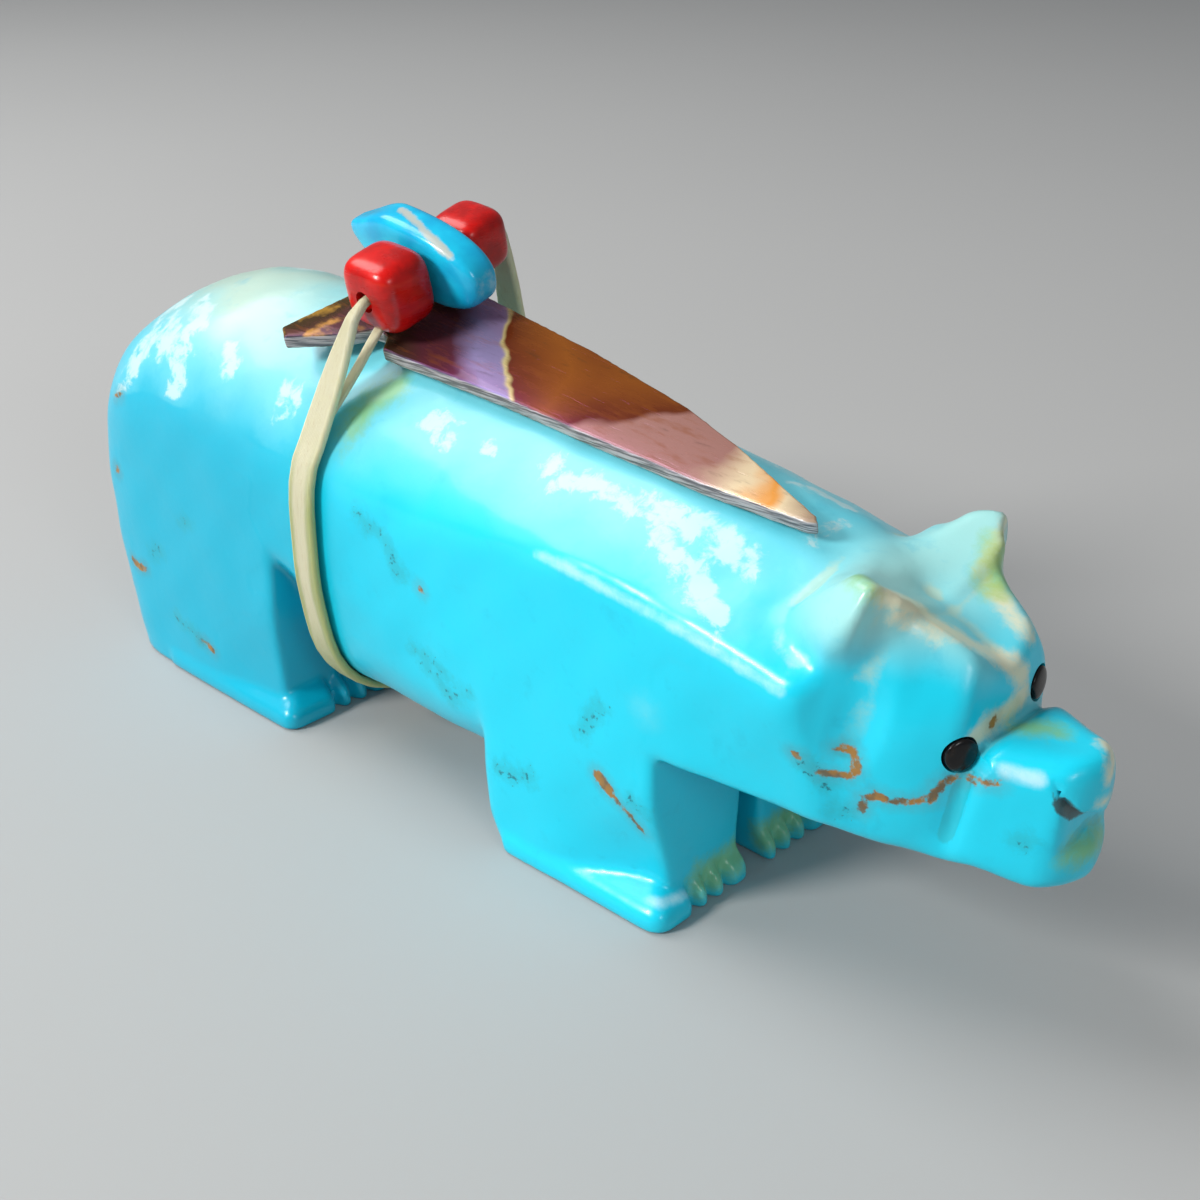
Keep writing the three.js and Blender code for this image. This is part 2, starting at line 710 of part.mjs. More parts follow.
// A strip or thread swept along a path, each stop with its own width, thickness and side
function strip(stops, closed) {
  const sides = 6;
  const positions = [];
  const faces = [];
  const count = stops.length;
  stops.forEach((stop, i) => {
    const before = stops[closed ? (i + count - 1) % count : Math.max(i - 1, 0)].point;
    const after = stops[closed ? (i + 1) % count : Math.min(i + 1, count - 1)].point;
    const along = after.clone().sub(before).normalize();
    const out = stop.out.clone().addScaledVector(along, -stop.out.dot(along)).normalize();
    const across = out.clone().cross(along);
    for (let k = 0; k < sides; k += 1) {
      const angle = (k + 0.5) / sides * 2 * Math.PI;
      const p = stop.point.clone();
      p.addScaledVector(across, Math.cos(angle) * stop.width / 2);
      p.addScaledVector(out, Math.sin(angle) * stop.thickness / 2);
      positions.push(p.x, p.y, p.z);
    }
  });
  const links = closed ? count : count - 1;
  for (let i = 0; i < links; i += 1) {
    const a = i * sides;
    const b = ((i + 1) % count) * sides;
    for (let k = 0; k < sides; k += 1) {
      const next = (k + 1) % sides;
      faces.push(a + k, a + next, b + next, a + k, b + next, b + k);
    }
  }
  if (!closed) {
    for (let k = 1; k < sides - 1; k += 1) {
      const last = (count - 1) * sides;
      faces.push(0, k + 1, k, last, last + k, last + k + 1);
    }
  }
  const geometry = new THREE.BufferGeometry();
  geometry.setAttribute("position", new THREE.Float32BufferAttribute(positions, 3));
  geometry.setIndex(faces);
  return geometry;
}

// Outer boundary of a set of points across the bear, each a Vector2 of y and z
function outerHull(points) {
  const sorted = [...points].sort((a, b) => a.x - b.x || a.y - b.y);
  const turn = (o, a, b) => (a.x - o.x) * (b.y - o.y) - (a.y - o.y) * (b.x - o.x);
  function chain(list) {
    const kept = [];
    for (const point of list) {
      while (kept.length > 1 && turn(kept[kept.length - 2], kept[kept.length - 1], point) <= 0) {
        kept.pop();
      }
      kept.push(point);
    }
    kept.pop();
    return kept;
  }
  return [...chain(sorted), ...chain(sorted.reverse())];
}

// The tie stands upright on the flanks and leans forward over the back, to the notches
const flankStation = placed(-9.6, 0, 0).x;
const notchPlace = new THREE.Vector3(edges.right.notch + notchMouth, 0, 0).applyMatrix4(plateFrame);
const leanFrom = backHeight * 0.7;

function tieX(z) {
  return flankStation + (notchPlace.x - flankStation) * easeBetween(leanFrom, backHeight, z);
}

// The way round the bear and over the arrowhead, pulled tight
function girthPath() {
  const girth = [];
  const rays = 96;
  for (const offset of [-tieWidth / 2, 0, tieWidth / 2]) {
    for (let i = 0; i < rays; i += 1) {
      const angle = i / rays * 2 * Math.PI;
      const direction = new THREE.Vector3(0, Math.cos(angle), Math.sin(angle));
      const origin = new THREE.Vector3(flankStation + offset, 0, backHeight / 2);
      const first = surfacePoint(origin, direction);
      origin.x = tieX(first.z) + offset;
      const point = surfacePoint(origin, direction);
      girth.push(new THREE.Vector2(point.y, point.z));
    }
    for (const side of [-1, 1]) {
      for (const n of [lift, plateTop + restClearance]) {
        const reach = notchWidth / 2 + notchClearance;
        const corner = new THREE.Vector3(edges.right.notch + offset, side * reach, n);
        corner.applyMatrix4(plateFrame);
        girth.push(new THREE.Vector2(corner.y, corner.z));
      }
    }
  }
  const hull = outerHull(girth);
  const loop = new THREE.CurvePath();
  hull.forEach((point, i) => {
    loop.add(new THREE.LineCurve(point, hull[(i + 1) % hull.length]));
  });
  const stops = 52;
  const spaced = loop.getSpacedPoints(stops).slice(0, stops);
  const lowest = spaced.reduce((best, point, i) => (
    point.y + Math.abs(point.x) < spaced[best].y + Math.abs(spaced[best].x) ? i : best
  ), 0);
  const even = [...spaced.slice(lowest), ...spaced.slice(0, lowest)];
  return even.map((point, i) => {
    const before = even[(i + stops - 1) % stops];
    const after = even[(i + 1) % stops];
    const along = after.clone().sub(before).normalize();
    const out = new THREE.Vector3(0, along.y, -along.x);
    return { surface: new THREE.Vector3(tieX(point.y), point.x, point.y), out };
  });
}

// A stop that lies on the surface with its own width and thickness
function laid(stop, width, thickness) {
  const gap = restClearance + thickness / 2;
  const point = stop.surface.clone().addScaledVector(stop.out, gap);
  return { point, out: stop.out, width, thickness };
}

// The beads sit on the wrap, in a row across the arrowhead
const seatRise = plateTop + wrapThickness + 2 * restClearance + beadSeatGap;
const rowStation = -0.5;
const rowMiddle = 0.9;
const rowSwing = radians(5);
const swing = new THREE.Quaternion().setFromAxisAngle(new THREE.Vector3(0, 0, 1), rowSwing);
const rowTurn = plateTurn.clone().multiply(swing);
const rightReach = rowMiddle - nuggetThickness / 2 - beadGap - rightCoralLength / 2;
const leftReach = rowMiddle + nuggetThickness / 2 + beadGap + leftCoralLength / 2;
const threadRise = seatRise + rightCoralSize / 2;
const rowPlace = (t, n) => new THREE.Vector3(
  rowStation - t * Math.sin(rowSwing),
  t * Math.cos(rowSwing),
  n,
).applyMatrix4(plateFrame);
const rowAxis = new THREE.Vector3(0, 1, 0).applyQuaternion(rowTurn);

function tieGeometry() {
  const leaving = backHeight * 0.8;
  const overlap = backHeight * 0.1;
  const ring = girthPath();
  const top = ring.findIndex((stop) => stop.surface.z >= leaving);
  const bottom = ring.findLastIndex((stop) => stop.surface.z >= leaving);
  const leftBand = ring.slice(0, top).map((stop) => laid(stop, tieWidth, tieThickness));
  const rightBand = ring.slice(bottom + 1).map((stop) => laid(stop, tieWidth, tieThickness));
  const rightEnd = rowPlace(rightReach - rightCoralLength / 2, threadRise);
  const leftEnd = rowPlace(leftReach + leftCoralLength / 2, threadRise);
  const rightMouth = rightEnd.clone().addScaledVector(rowAxis, -bareThread);
  const leftMouth = leftEnd.clone().addScaledVector(rowAxis, bareThread);
  const up = new THREE.Vector3(0, 0, 1);
  const rising = (from, mouth) => [0.2, 0.4, 0.6, 0.8, 0.92].map((share) => ({
    point: from.point.clone().lerp(mouth, share),
    out: from.out.clone().lerp(up, share / 2),
    width: THREE.MathUtils.lerp(tieWidth, threadDiameter, share ** 3),
    thickness: THREE.MathUtils.lerp(tieThickness, threadDiameter, share ** 3),
  }));
  const thread = [leftEnd, rightEnd]
    .map((point) => ({ point, out: up, width: threadDiameter, thickness: threadDiameter }));
  const whole = [
    ...rightBand,
    ...leftBand,
    ...rising(leftBand[leftBand.length - 1], leftMouth),
    ...thread,
    ...rising(rightBand[0], rightMouth).reverse(),
  ];
  const wrap = ring
    .filter((stop) => stop.surface.z >= leaving - overlap)
    .map((stop) => laid(stop, wrapWidth, wrapThickness));
  return geometryOf(solid(strip(whole, true)).add(solid(strip(wrap, false))));
}

// A rounded block: a ball pushed out towards its corners
function roundedBlock(size, squareness, rings, around) {
  const ball = new THREE.SphereGeometry(1, around, rings);
  const points = ball.attributes.position;
  for (let i = 0; i < points.count; i += 1) {
    const p = new THREE.Vector3().fromBufferAttribute(points, i);
    const reach = [p.x, p.y, p.z].reduce((sum, part) => sum + Math.abs(part) ** squareness, 0);
    p.multiplyScalar(reach ** (-1 / squareness) / 2);
    points.setXYZ(i, p.x * size[0], p.y * size[1], p.z * size[2]);
  }
  return ball;
}

// A bead resting on the row at its own height, drilled along the line of the thread
function bead(block, reach, height) {
  const bore = new THREE.CylinderGeometry(beadBore / 2, beadBore / 2, 2 * rightCoralLength, 10);
  const unscaled = new THREE.Vector3(1, 1, 1);
  const seat = new THREE.Matrix4().compose(rowPlace(reach, seatRise + height / 2), rowTurn, unscaled);
  const drill = new THREE.Matrix4().compose(rowPlace(reach, threadRise), rowTurn, unscaled);
  return geometryOf(solid(block.applyMatrix4(seat)).subtract(solid(bore.applyMatrix4(drill))));
}

function coralGeometry(reach, length, size) {
  return bead(roundedBlock([size, length, size], coralSquareness, 8, 12), reach, size);
}

// The nugget narrows towards its rear tip
function nuggetGeometry() {
  const block = roundedBlock([nuggetLength, nuggetThickness, nuggetHeight], nuggetSquareness, 8, 14);
  const points = block.attributes.position;
  for (let i = 0; i < points.count; i += 1) {
    const share = -points.getX(i) / nuggetLength;
    const taper = 1 - nuggetTaper * easeBetween(0.15, 0.5, share);
    points.setY(i, points.getY(i) * Math.sqrt(taper));
    points.setZ(i, points.getZ(i) * taper);
  }
  block.rotateY(radians(nuggetTilt));
  block.translate(-nuggetOverhang, 0, 0);
  return bead(block, rowMiddle, nuggetHeight);
}

const turquoise = new THREE.MeshStandardMaterial({ color: 0x4fc8dd, roughness: 0.2, metalness: 0 });
const jet = new THREE.MeshStandardMaterial({ color: 0x0b0b0c, roughness: 0.15, metalness: 0 });
const shell = new THREE.MeshStandardMaterial({ color: 0x6b3f22, roughness: 0.25, metalness: 0.1 });
const sinew = new THREE.MeshStandardMaterial({ color: 0xd8d2a4, roughness: 0.5, metalness: 0 });
const coral = new THREE.MeshStandardMaterial({ color: 0xb5120c, roughness: 0.2, metalness: 0 });
const nuggetStone = new THREE.MeshStandardMaterial({ color: 0x2fb9e6, roughness: 0.2, metalness: 0 });

const bearFetish = new THREE.Group();

function addPiece(name, geometry, material) {
  const piece = new THREE.Mesh(geometry, material);
  piece.name = name;
  bearFetish.add(piece);
}

addPiece("bear", bearGeometry(), turquoise);
addPiece("right_eye", eyeGeometry(seats.right), jet);
addPiece("left_eye", eyeGeometry(seats.left), jet);
addPiece("arrowhead", arrowheadGeometry(), shell);
addPiece("sinew_tie", tieGeometry(), sinew);
addPiece("right_coral_bead", coralGeometry(rightReach, rightCoralLength, rightCoralSize), coral);
addPiece("turquoise_bead", nuggetGeometry(), nuggetStone);
addPiece("left_coral_bead", coralGeometry(leftReach, leftCoralLength, leftCoralSize), coral);

export default bearFetish;
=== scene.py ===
"""Looks of a turquoise bear fetish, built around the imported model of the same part.

Lengths are millimetres in the model's own frame, and a mesh is turned to metres when it is made.
"""

import logging
import math
from dataclasses import dataclass, field, fields
from enum import Enum
from typing import Any, Callable, Sequence

import bmesh
import bpy
import numpy as np
from mathutils import Matrix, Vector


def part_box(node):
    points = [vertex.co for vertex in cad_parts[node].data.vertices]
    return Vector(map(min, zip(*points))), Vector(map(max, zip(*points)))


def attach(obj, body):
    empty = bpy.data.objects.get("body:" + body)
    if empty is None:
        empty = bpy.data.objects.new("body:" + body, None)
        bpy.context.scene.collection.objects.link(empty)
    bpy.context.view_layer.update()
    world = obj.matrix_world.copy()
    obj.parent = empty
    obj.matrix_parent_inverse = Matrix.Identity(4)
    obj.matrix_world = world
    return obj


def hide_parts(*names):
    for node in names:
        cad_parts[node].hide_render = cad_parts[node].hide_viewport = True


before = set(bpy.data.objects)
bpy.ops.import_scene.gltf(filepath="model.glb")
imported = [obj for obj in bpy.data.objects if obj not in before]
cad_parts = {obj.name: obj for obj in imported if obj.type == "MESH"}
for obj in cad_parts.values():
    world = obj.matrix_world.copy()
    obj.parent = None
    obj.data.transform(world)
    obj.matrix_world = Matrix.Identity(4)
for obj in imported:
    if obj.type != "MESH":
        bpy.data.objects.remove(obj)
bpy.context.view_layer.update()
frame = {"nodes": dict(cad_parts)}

MM = 0.001
TOUCHING = 1e-7  # how near two corners lie, in metres, to be merged into one
BODY = "root"

Array = np.ndarray
Place = tuple[float, float, float]
Colour = tuple[float, float, float]
Field = Callable[[Array, Array, Array], Array]
Faces = list[tuple[int, ...]]
Pairs = tuple[tuple[float, float], ...]
Piece = bpy.types.Object
Material = bpy.types.Material
Socket = bpy.types.NodeSocket

log = logging.getLogger("bear_fetish")


class Slot(Enum):
    """Material slots of the record."""

    TURQUOISE = "turquoise"
    JET = "jet"
    SHELL = "shell"
    SINEW = "sinew"
    CORAL = "coral"
    BEAD_TURQUOISE = "bead_turquoise"


class Side(Enum):
    """Sides of the bear, as the sign of Y."""

    RIGHT = -1
    LEFT = 1


# Curves and planes that the carving is drawn with


def smooth_max(a: Array, b: Array, softness: Any) -> Array:
    """Larger of two fields, with a blend as wide as the softness."""
    overlap = np.maximum(softness - np.abs(a - b), 0.0) / softness
    return np.maximum(a, b) + overlap * overlap * softness / 4


def smooth_min(a: Array, b: Array, softness: Any) -> Array:
    """Smaller of two fields, with a blend as wide as the softness."""
    return -smooth_max(-a, -b, softness)


def ease(start: float, end: float, value: Array) -> Array:
    """Rise from 0 at the start to 1 at the end, level at both."""
    t = np.clip((value - start) / (end - start), 0.0, 1.0)
    return t * t * (3 - 2 * t)


def turn_about(axis: int, angle: float) -> Array:
    """Rotation about one axis.

    Args:
        axis: Number of the axis.
        angle: Angle in degrees.

    Returns:
        3x3 matrix.
    """
    c, s = math.cos(math.radians(angle)), math.sin(math.radians(angle))
    turn = np.eye(3)
    u, v = (axis + 1) % 3, (axis + 2) % 3
    turn[u, u] = turn[v, v] = c
    turn[v, u], turn[u, v] = s, -s
    return turn


@dataclass(frozen=True)
class Profile:
    """A smooth curve through a few stations, without overshoot."""

    stations: Pairs

    def __call__(self, value: Any) -> Array:
        """Height of the curve.

        Args:
            value: Places along the curve.

        Returns:
            The height over each place.
        """
        places, heights = np.array(self.stations).T
        slopes = np.diff(heights) / np.diff(places)
        before, after = slopes[:-1], slopes[1:]
        rising = before * after > 0
        total = np.where(rising, before + after, 1.0)
        inner = np.where(rising, 2 * before * after / total, 0.0)
        tangents = np.concatenate([slopes[:1], inner, slopes[-1:]])
        x = np.clip(value, places[0], places[-1])
        i = np.clip(np.searchsorted(places, x, side="right") - 1, 0, len(places) - 2)
        h = places[i + 1] - places[i]
        t = (x - places[i]) / h
        keep = (1 + 2 * t) * (1 - t) ** 2
        bend = t * (1 - t) ** 2 * tangents[i] + t * t * (t - 1) * tangents[i + 1]
        return keep * heights[i] + (1 - keep) * heights[i + 1] + h * bend


def profile(*stations: tuple[float, float]) -> Profile:
    """Profile through the stations given."""
    return Profile(stations)


@dataclass(frozen=True)
class Facet:
    """A flat cut through a point, positive on the side that its normal shows."""

    point: Place
    normal: Place

    def __call__(self, x: Array, y: Array, z: Array) -> Array:
        """Distance from the facet."""
        n = np.array(self.normal) / np.linalg.norm(self.normal)
        return x * n[0] + y * n[1] + z * n[2] - float(n @ np.array(self.point))


@dataclass(frozen=True)
class Rod:
    """A round-ended rod."""

    start: Place
    end: Place
    radius: float

    def __call__(self, x: Array, y: Array, z: Array) -> Array:
        """Distance from the rod's skin.

        Args:
            x, y, z: Places.

        Returns:
            The distance at each place, negative inside.
        """
        axis = np.array(self.end) - np.array(self.start)
        away = [value - start for value, start in zip((x, y, z), self.start)]
        share = np.clip(sum(a * b for a, b in zip(away, axis)) / float(axis @ axis), 0.0, 1.0)
        return np.sqrt(sum((a - b * share) ** 2 for a, b in zip(away, axis))) - self.radius


# The carving, drawn as the carver would mark it on the block and then stretched to the model


@dataclass(frozen=True)
class Torso:
    """Back, flanks and rump."""

    crown: Profile = profile(
        (-32, 22.7), (-22, 22.9), (-14, 22.75), (-6, 22.15), (4, 21.2), (12, 20.4), (18, 19.25), (23, 17.6)
    )
    shoulder: Profile = profile(
        (-31, 18), (-22, 18.5), (-15, 18.3), (-7, 17.2), (0, 16.7), (8, 16.9), (14, 16.3), (20, 15.3)
    )
    width: Profile = profile((-31, 7.9), (-20, 7.9), (-10, 7.7), (0, 7.3), (10, 7.1), (20, 6.95))
    ridge_softness: float = 0.45
    top_steepness: float = 0.8
    edge_softness: float = 3.5
    edge_sharpening: float = 2.8
    sharp_from: float = -14
    sharp_to: float = 9
    neck_taper: float = 1.2
    neck_from: float = 12
    neck_to: float = 20
    neck_low: float = 9
    neck_high: float = 15
    rump_end: float = -31.8
    rump_top: Facet = Facet((-29.9, 0, 19.9), (-0.74, 0, 0.67))
    rump_corner: Facet = Facet((-30.6, 7.1, 12), (-0.7, 0.71, 0.03))
    rump_tuck: Facet = Facet((-29, 0, 0), (-0.93, 0, -0.37))
    shoulder_front: Facet = Facet((19.9, 6.9, 15.1), (0.8, 0.6, -0.03))
    neck_front: Facet = Facet((20.6, 0, 19), (1, 0, 0.35))

    def shape(self, x: Array, y: Array, z: Array) -> tuple[Array, Array]:
        """Fields of the whole block and of its flank alone.

        Args:
            x, y, z: Places in the drawing.

        Returns:
            The two fields at each place.
        """
        half = self.width(x)
        k = self.ridge_softness
        fall = (np.hypot(y / half, k) - k) / (math.hypot(1, k) - k)
        crown = self.crown(x)
        top = (z - (crown - (crown - self.shoulder(x)) * fall)) * self.top_steepness
        taper = self.neck_taper * ease(self.neck_from, self.neck_to, x)
        flank = y - half + taper * (1 - ease(self.neck_low, self.neck_high, z))
        sharpening = self.edge_sharpening * ease(self.sharp_from, self.sharp_to, x)
        block = smooth_max(top, flank, self.edge_softness - sharpening)
        block = smooth_max(block, self.rump_end - x, 3)
        for cut, softness in ((self.rump_top, 7), (self.rump_corner, 3), (self.rump_tuck, 4)):
            block = smooth_max(block, cut(x, y, z), softness)
        front = smooth_max(self.shoulder_front(x, y, z), self.neck_front(x, y, z), 2)
        return smooth_max(block, front, 0.6), flank


@dataclass(frozen=True)
class Underside:
    """Belly, the hollows between the legs, and the slots along the middle."""

    belly: float = 3
    belly_softness: float = 5
    belly_middle: float = -5
    belly_width: Profile = profile((2, 6.2), (6, 6.9), (9, 7.4), (12, 8.6))
    front_leg_back: Profile = profile((0, 3.4), (2.3, 2.4), (6.6, 2.1), (12, 1.8))
    rear_leg_front: Profile = profile((0, -13.9), (2.5, -13.8), (11, -13.2))
    recess: float = 3.6
    recess_from: float = -13.4
    recess_to: float = -9.6
    recess_top: float = 11.3
    recess_fade: float = 8
    front_inset: float = 1.5
    front_inset_from: float = 5.5
    front_inset_to: float = 13
    rear_inset: float = 0.7
    rear_inset_from: float = -22
    rear_inset_to: float = -13.5
    inset_foot: float = 1.5
    inset_top: float = 8
    chest_front: float = 12.9
    neck_height: float = 9.2
    slot_half_width: float = 0.85
    slot_height: float = 7
    slot_taper: float = 0.25
    slot_offset: float = 0.25
    slot_rounding: float = 0.1
    front_slot_start: float = 4
    rear_slot_end: float = -8

    def arch(self, x: Array, y: Array, z: Array) -> Array:
        """Space under the belly between the rear and front legs.

        Args:
            x, y, z: Places in the drawing.

        Returns:
            The space's field at each place.
        """
        near_rear_leg = 1 - ease(self.recess_from, self.recess_to, x)
        recess = self.recess * near_rear_leg * np.clip((self.recess_top - z) / self.recess_fade, 0, 1)
        belly = smooth_max(self.belly - z, y - self.belly_width(z) + recess, self.belly_softness)
        between = smooth_max(self.rear_leg_front(z) - x, x - self.front_leg_back(z), 0.5)
        return smooth_max(between, -belly, 0.5)

    def leg_inset(self, x: Array, z: Array) -> Array:
        """How far the legs are cut in above their feet.

        Args:
            x, z: Places in the drawing.

        Returns:
            The depth of the cut at each place.
        """
        front = self.front_inset * ease(self.front_inset_from, self.front_inset_to, x)
        rear = self.rear_inset * ease(self.rear_inset_from, self.rear_inset_to, x)
        inset = front + np.where(x < self.belly_middle, rear, 0)
        return inset * (1 - ease(self.inset_foot, self.inset_top, z))

    def chest(self, x: Array, z: Array) -> Array:
        """Space under the neck, in front of the front legs."""
        return smooth_max(self.chest_front - x, z - self.neck_height, 0.7)

    def slot(self, along: Array, y: Array, z: Array) -> Array:
        """Slot between two legs, open to the end where the first field falls."""
        half = self.slot_half_width - self.slot_taper * np.minimum(z / self.slot_height, 1)
        return smooth_max(smooth_max(y - half, z - self.slot_height, 0.8), along, 0.8)


@dataclass(frozen=True)
class Feet:
    """Two pairs of feet, with a slope down to the rim and grooves between the toes."""

    front_toes: float = 13.65
    rear_toes: float = -12.65
    front_heel: float = 3.6
    rear_heel: float = -24
    sole_thickness: float = 0.9
    top_slope: float = 0.8
    toe_grooves: tuple[float, ...] = (2, 3.15, 4.25)
    groove_depth: float = 0.75
    groove_width: float = 0.28

    def pair(self, x: Array, y: Array, z: Array, flank: Array, heel: float, toes: float) -> Array:
        """Field of one pair of feet.

        Args:
            x, y, z: Places in the drawing.
            flank: Field of the block's flank there.
            heel: Where the feet begin.
            toes: Where they end.

        Returns:
            The pair's field at each place.
        """
        from_grooves = [(y - groove) / self.groove_width for groove in self.toe_grooves]
        front = toes - sum(self.groove_depth * np.exp(-(share ** 2)) for share in from_grooves)
        rim = np.maximum(smooth_min(-flank, front - x, 0.5), 0)
        plan = smooth_max(x - front, flank, 0.9)
        lid = smooth_max(heel - x, z - (self.sole_thickness + self.top_slope * rim), 0.3)
        return smooth_max(plan, lid, 0.4)


@dataclass(frozen=True)
class Head:
    """Skull with its brow groove, muzzle, mouth and the groove down past the eyes."""

    nape: float = 12
    width: Profile = profile(
        (12, 5.6), (16, 5.9), (18, 5.85), (20, 5.65), (22, 5.2), (24, 4.45), (25.6, 3.65), (27, 3.3)
    )
    widest_height: float = 12.6
    cheek_bulge: float = 0.03
    side_steepness: float = 0.92
    dome: Profile = profile((18, 0.05), (22.4, 0.054), (23.9, 0.078), (25.2, 0.088))
    groove: Profile = profile((18, 18.9), (20, 18.3), (22.9, 17.3), (25.6, 15.9), (28, 14.6))
    brow: Profile = profile((18, 19), (20, 18.9), (22.5, 18.5), (25.3, 17.2), (28, 15.6))
    brow_reach: Profile = profile((18, 3.4), (22.5, 3), (25.3, 2.6))
    brow_rounding: float = 0.12
    brow_spread: float = 0.887
    brow_steepness: float = 0.87
    skull_start: float = 19
    skull_foot: float = 14.5
    brow_front: Facet = Facet((25.75, 0, 15.9), (0.96, 0.12, 0.23))
    muzzle_width: Profile = profile(
        (24, 3.5), (25.5, 3.3), (26.5, 3.1), (27.5, 2.75), (28.5, 2.35), (29.5, 2), (31, 1.5)
    )
    muzzle_lean: float = 0.09
    muzzle_middle: float = 11.5
    muzzle_top: Profile = profile((24, 14), (26, 13.85), (28, 13.75), (30.5, 13.85))
    nose_front: Facet = Facet((30.7, 0, 12.5), (0.97, 0.2, -0.02))
    jaw_front: Facet = Facet((30.4, 0, 10.5), (0.97, 0.18, -0.05))
    cheek_front: Facet = Facet((25.75, 3.2, 12), (0.72, 0.69, 0))
    chin: Facet = Facet((29.8, 1.2, 7.7), (0.55, 0.35, -0.75))
    jaw: Profile = profile((12, 9.1), (18, 8.9), (22, 8.35), (25, 8.15), (26.5, 8.4), (28, 8.15), (29.5, 7.8))
    eye_groove: Profile = profile((8.5, 25.3), (13.5, 25.9), (16, 26.3))
    eye_groove_low: float = 7.8
    eye_groove_high: float = 10.5
    eye_groove_depth: float = 0.35
    eye_groove_width: float = 0.45
    mouth: Profile = profile((28.8, 13.15), (29.15, 12.65), (29.45, 11.85), (29.75, 11.15), (30.4, 10.65))
    mouth_half_gap: Profile = profile((28.5, 0.1), (29.1, 0.18), (29.5, 0.45), (29.9, 0.6), (30.5, 0.6))
    lip: Facet = Facet((30.1, 0, 9.7), (0.8, 0.2, 0.57))
    lip_start: float = 29.5
    mouth_depth: Profile = profile((28.5, 0.25), (29.2, 0.6), (29.8, 1.2), (30.4, 1.8))
    mouth_corner: float = 28.85

    def shape(self, x: Array, y: Array, z: Array) -> Array:
        """Field of the head without its ears.

        Args:
            x, y, z: Places in the drawing.

        Returns:
            The head's field at each place.
        """
        rise = z - self.widest_height
        bulge = np.where(rise > 0, self.dome(x), self.cheek_bulge) * rise * rise
        side = (y - self.width(x) + bulge) * self.side_steepness
        groove = self.groove(x)
        out = np.hypot(y / self.brow_reach(x), self.brow_rounding) - self.brow_rounding
        brows = groove + (self.brow(x) - groove) * out / self.brow_spread
        skull = smooth_max((z - brows) * self.brow_steepness, side, 0.45)
        skull = smooth_max(skull, smooth_min(self.skull_start - x, z - self.skull_foot, 1), 0.8)
        for cut, softness in ((self.brow_front, 0.5), (self.cheek_front, 0.8)):
            skull = smooth_max(skull, cut(x, y, z), softness)
        cheek = y - self.muzzle_width(x) + self.muzzle_lean * (z - self.muzzle_middle)
        muzzle = smooth_max(cheek, z - self.muzzle_top(x), 1.4)
        for cut, softness in ((self.nose_front, 1.5), (self.jaw_front, 1.1)):
            muzzle = smooth_max(muzzle, cut(x, y, z), softness)
        whole = smooth_min(skull, muzzle, 0.3)
        whole = smooth_max(whole, self.jaw(x) - z, 1)
        whole = smooth_max(whole, self.chin(x, y, z), 0.8)
        whole = smooth_max(whole, self.nape - x, 0.5)
        near_groove = (x - self.eye_groove(z)) / self.eye_groove_width
        depth = self.eye_groove_depth * ease(self.eye_groove_low, self.eye_groove_high, z)
        whole = whole + depth * np.exp(-near_groove * near_groove)
        lips = np.abs(z - self.mouth(x)) - self.mouth_half_gap(x)
        lower = self.mouth(x) + self.mouth_half_gap(x) - z
        before_lip = smooth_min(smooth_min(self.lip(x, y, z), lower, 0.1), x - self.lip_start, 0.1)
        whole = smooth_max(whole, before_lip, 0.3)
        mouth = smooth_max(lips, self.mouth_corner - x, 0.3)
        mouth = smooth_max(mouth, -(muzzle + self.mouth_depth(x)), 0.2)
        return smooth_max(whole, -mouth, 0.15)


@dataclass(frozen=True)
class Ears:
    """Ears cut from flat facets, each with a fluted hollow."""

    outer: Facet = Facet((22.3, 5, 20.1), (0.6, 0.8, 0.01))
    back: Facet = Facet((22.3, 5, 20.15), (-0.34, 0.81, 0.47))
    inner: Facet = Facet((22.3, 5, 20.2), (0.2, -0.52, 0.83))
    root: Facet = Facet((21, 4.3, 20.2), (-0.7, -0.05, 0.71))
    front: Facet = Facet((23, 5, 20), (0.97, -0.1, -0.16))
    foot: float = 16
    hollow: Rod = Rod((23.5, 4.5, 20.6), (22.2, 6.25, 13), 1.25)

    def shape(self, x: Array, y: Array, z: Array) -> Array:
        """Field of the ears without their hollows.

        Args:
            x, y, z: Places in the drawing.

        Returns:
            The ears' field at each place.
        """
        sheet = smooth_max(self.back(x, y, z), self.inner(x, y, z), 0.6)
        face = smooth_max(self.outer(x, y, z), self.front(x, y, z), 0.6)
        ear = smooth_max(sheet, smooth_max(face, self.root(x, y, z), 2), 0.4)
        return smooth_max(ear, self.foot - z, 2.5)


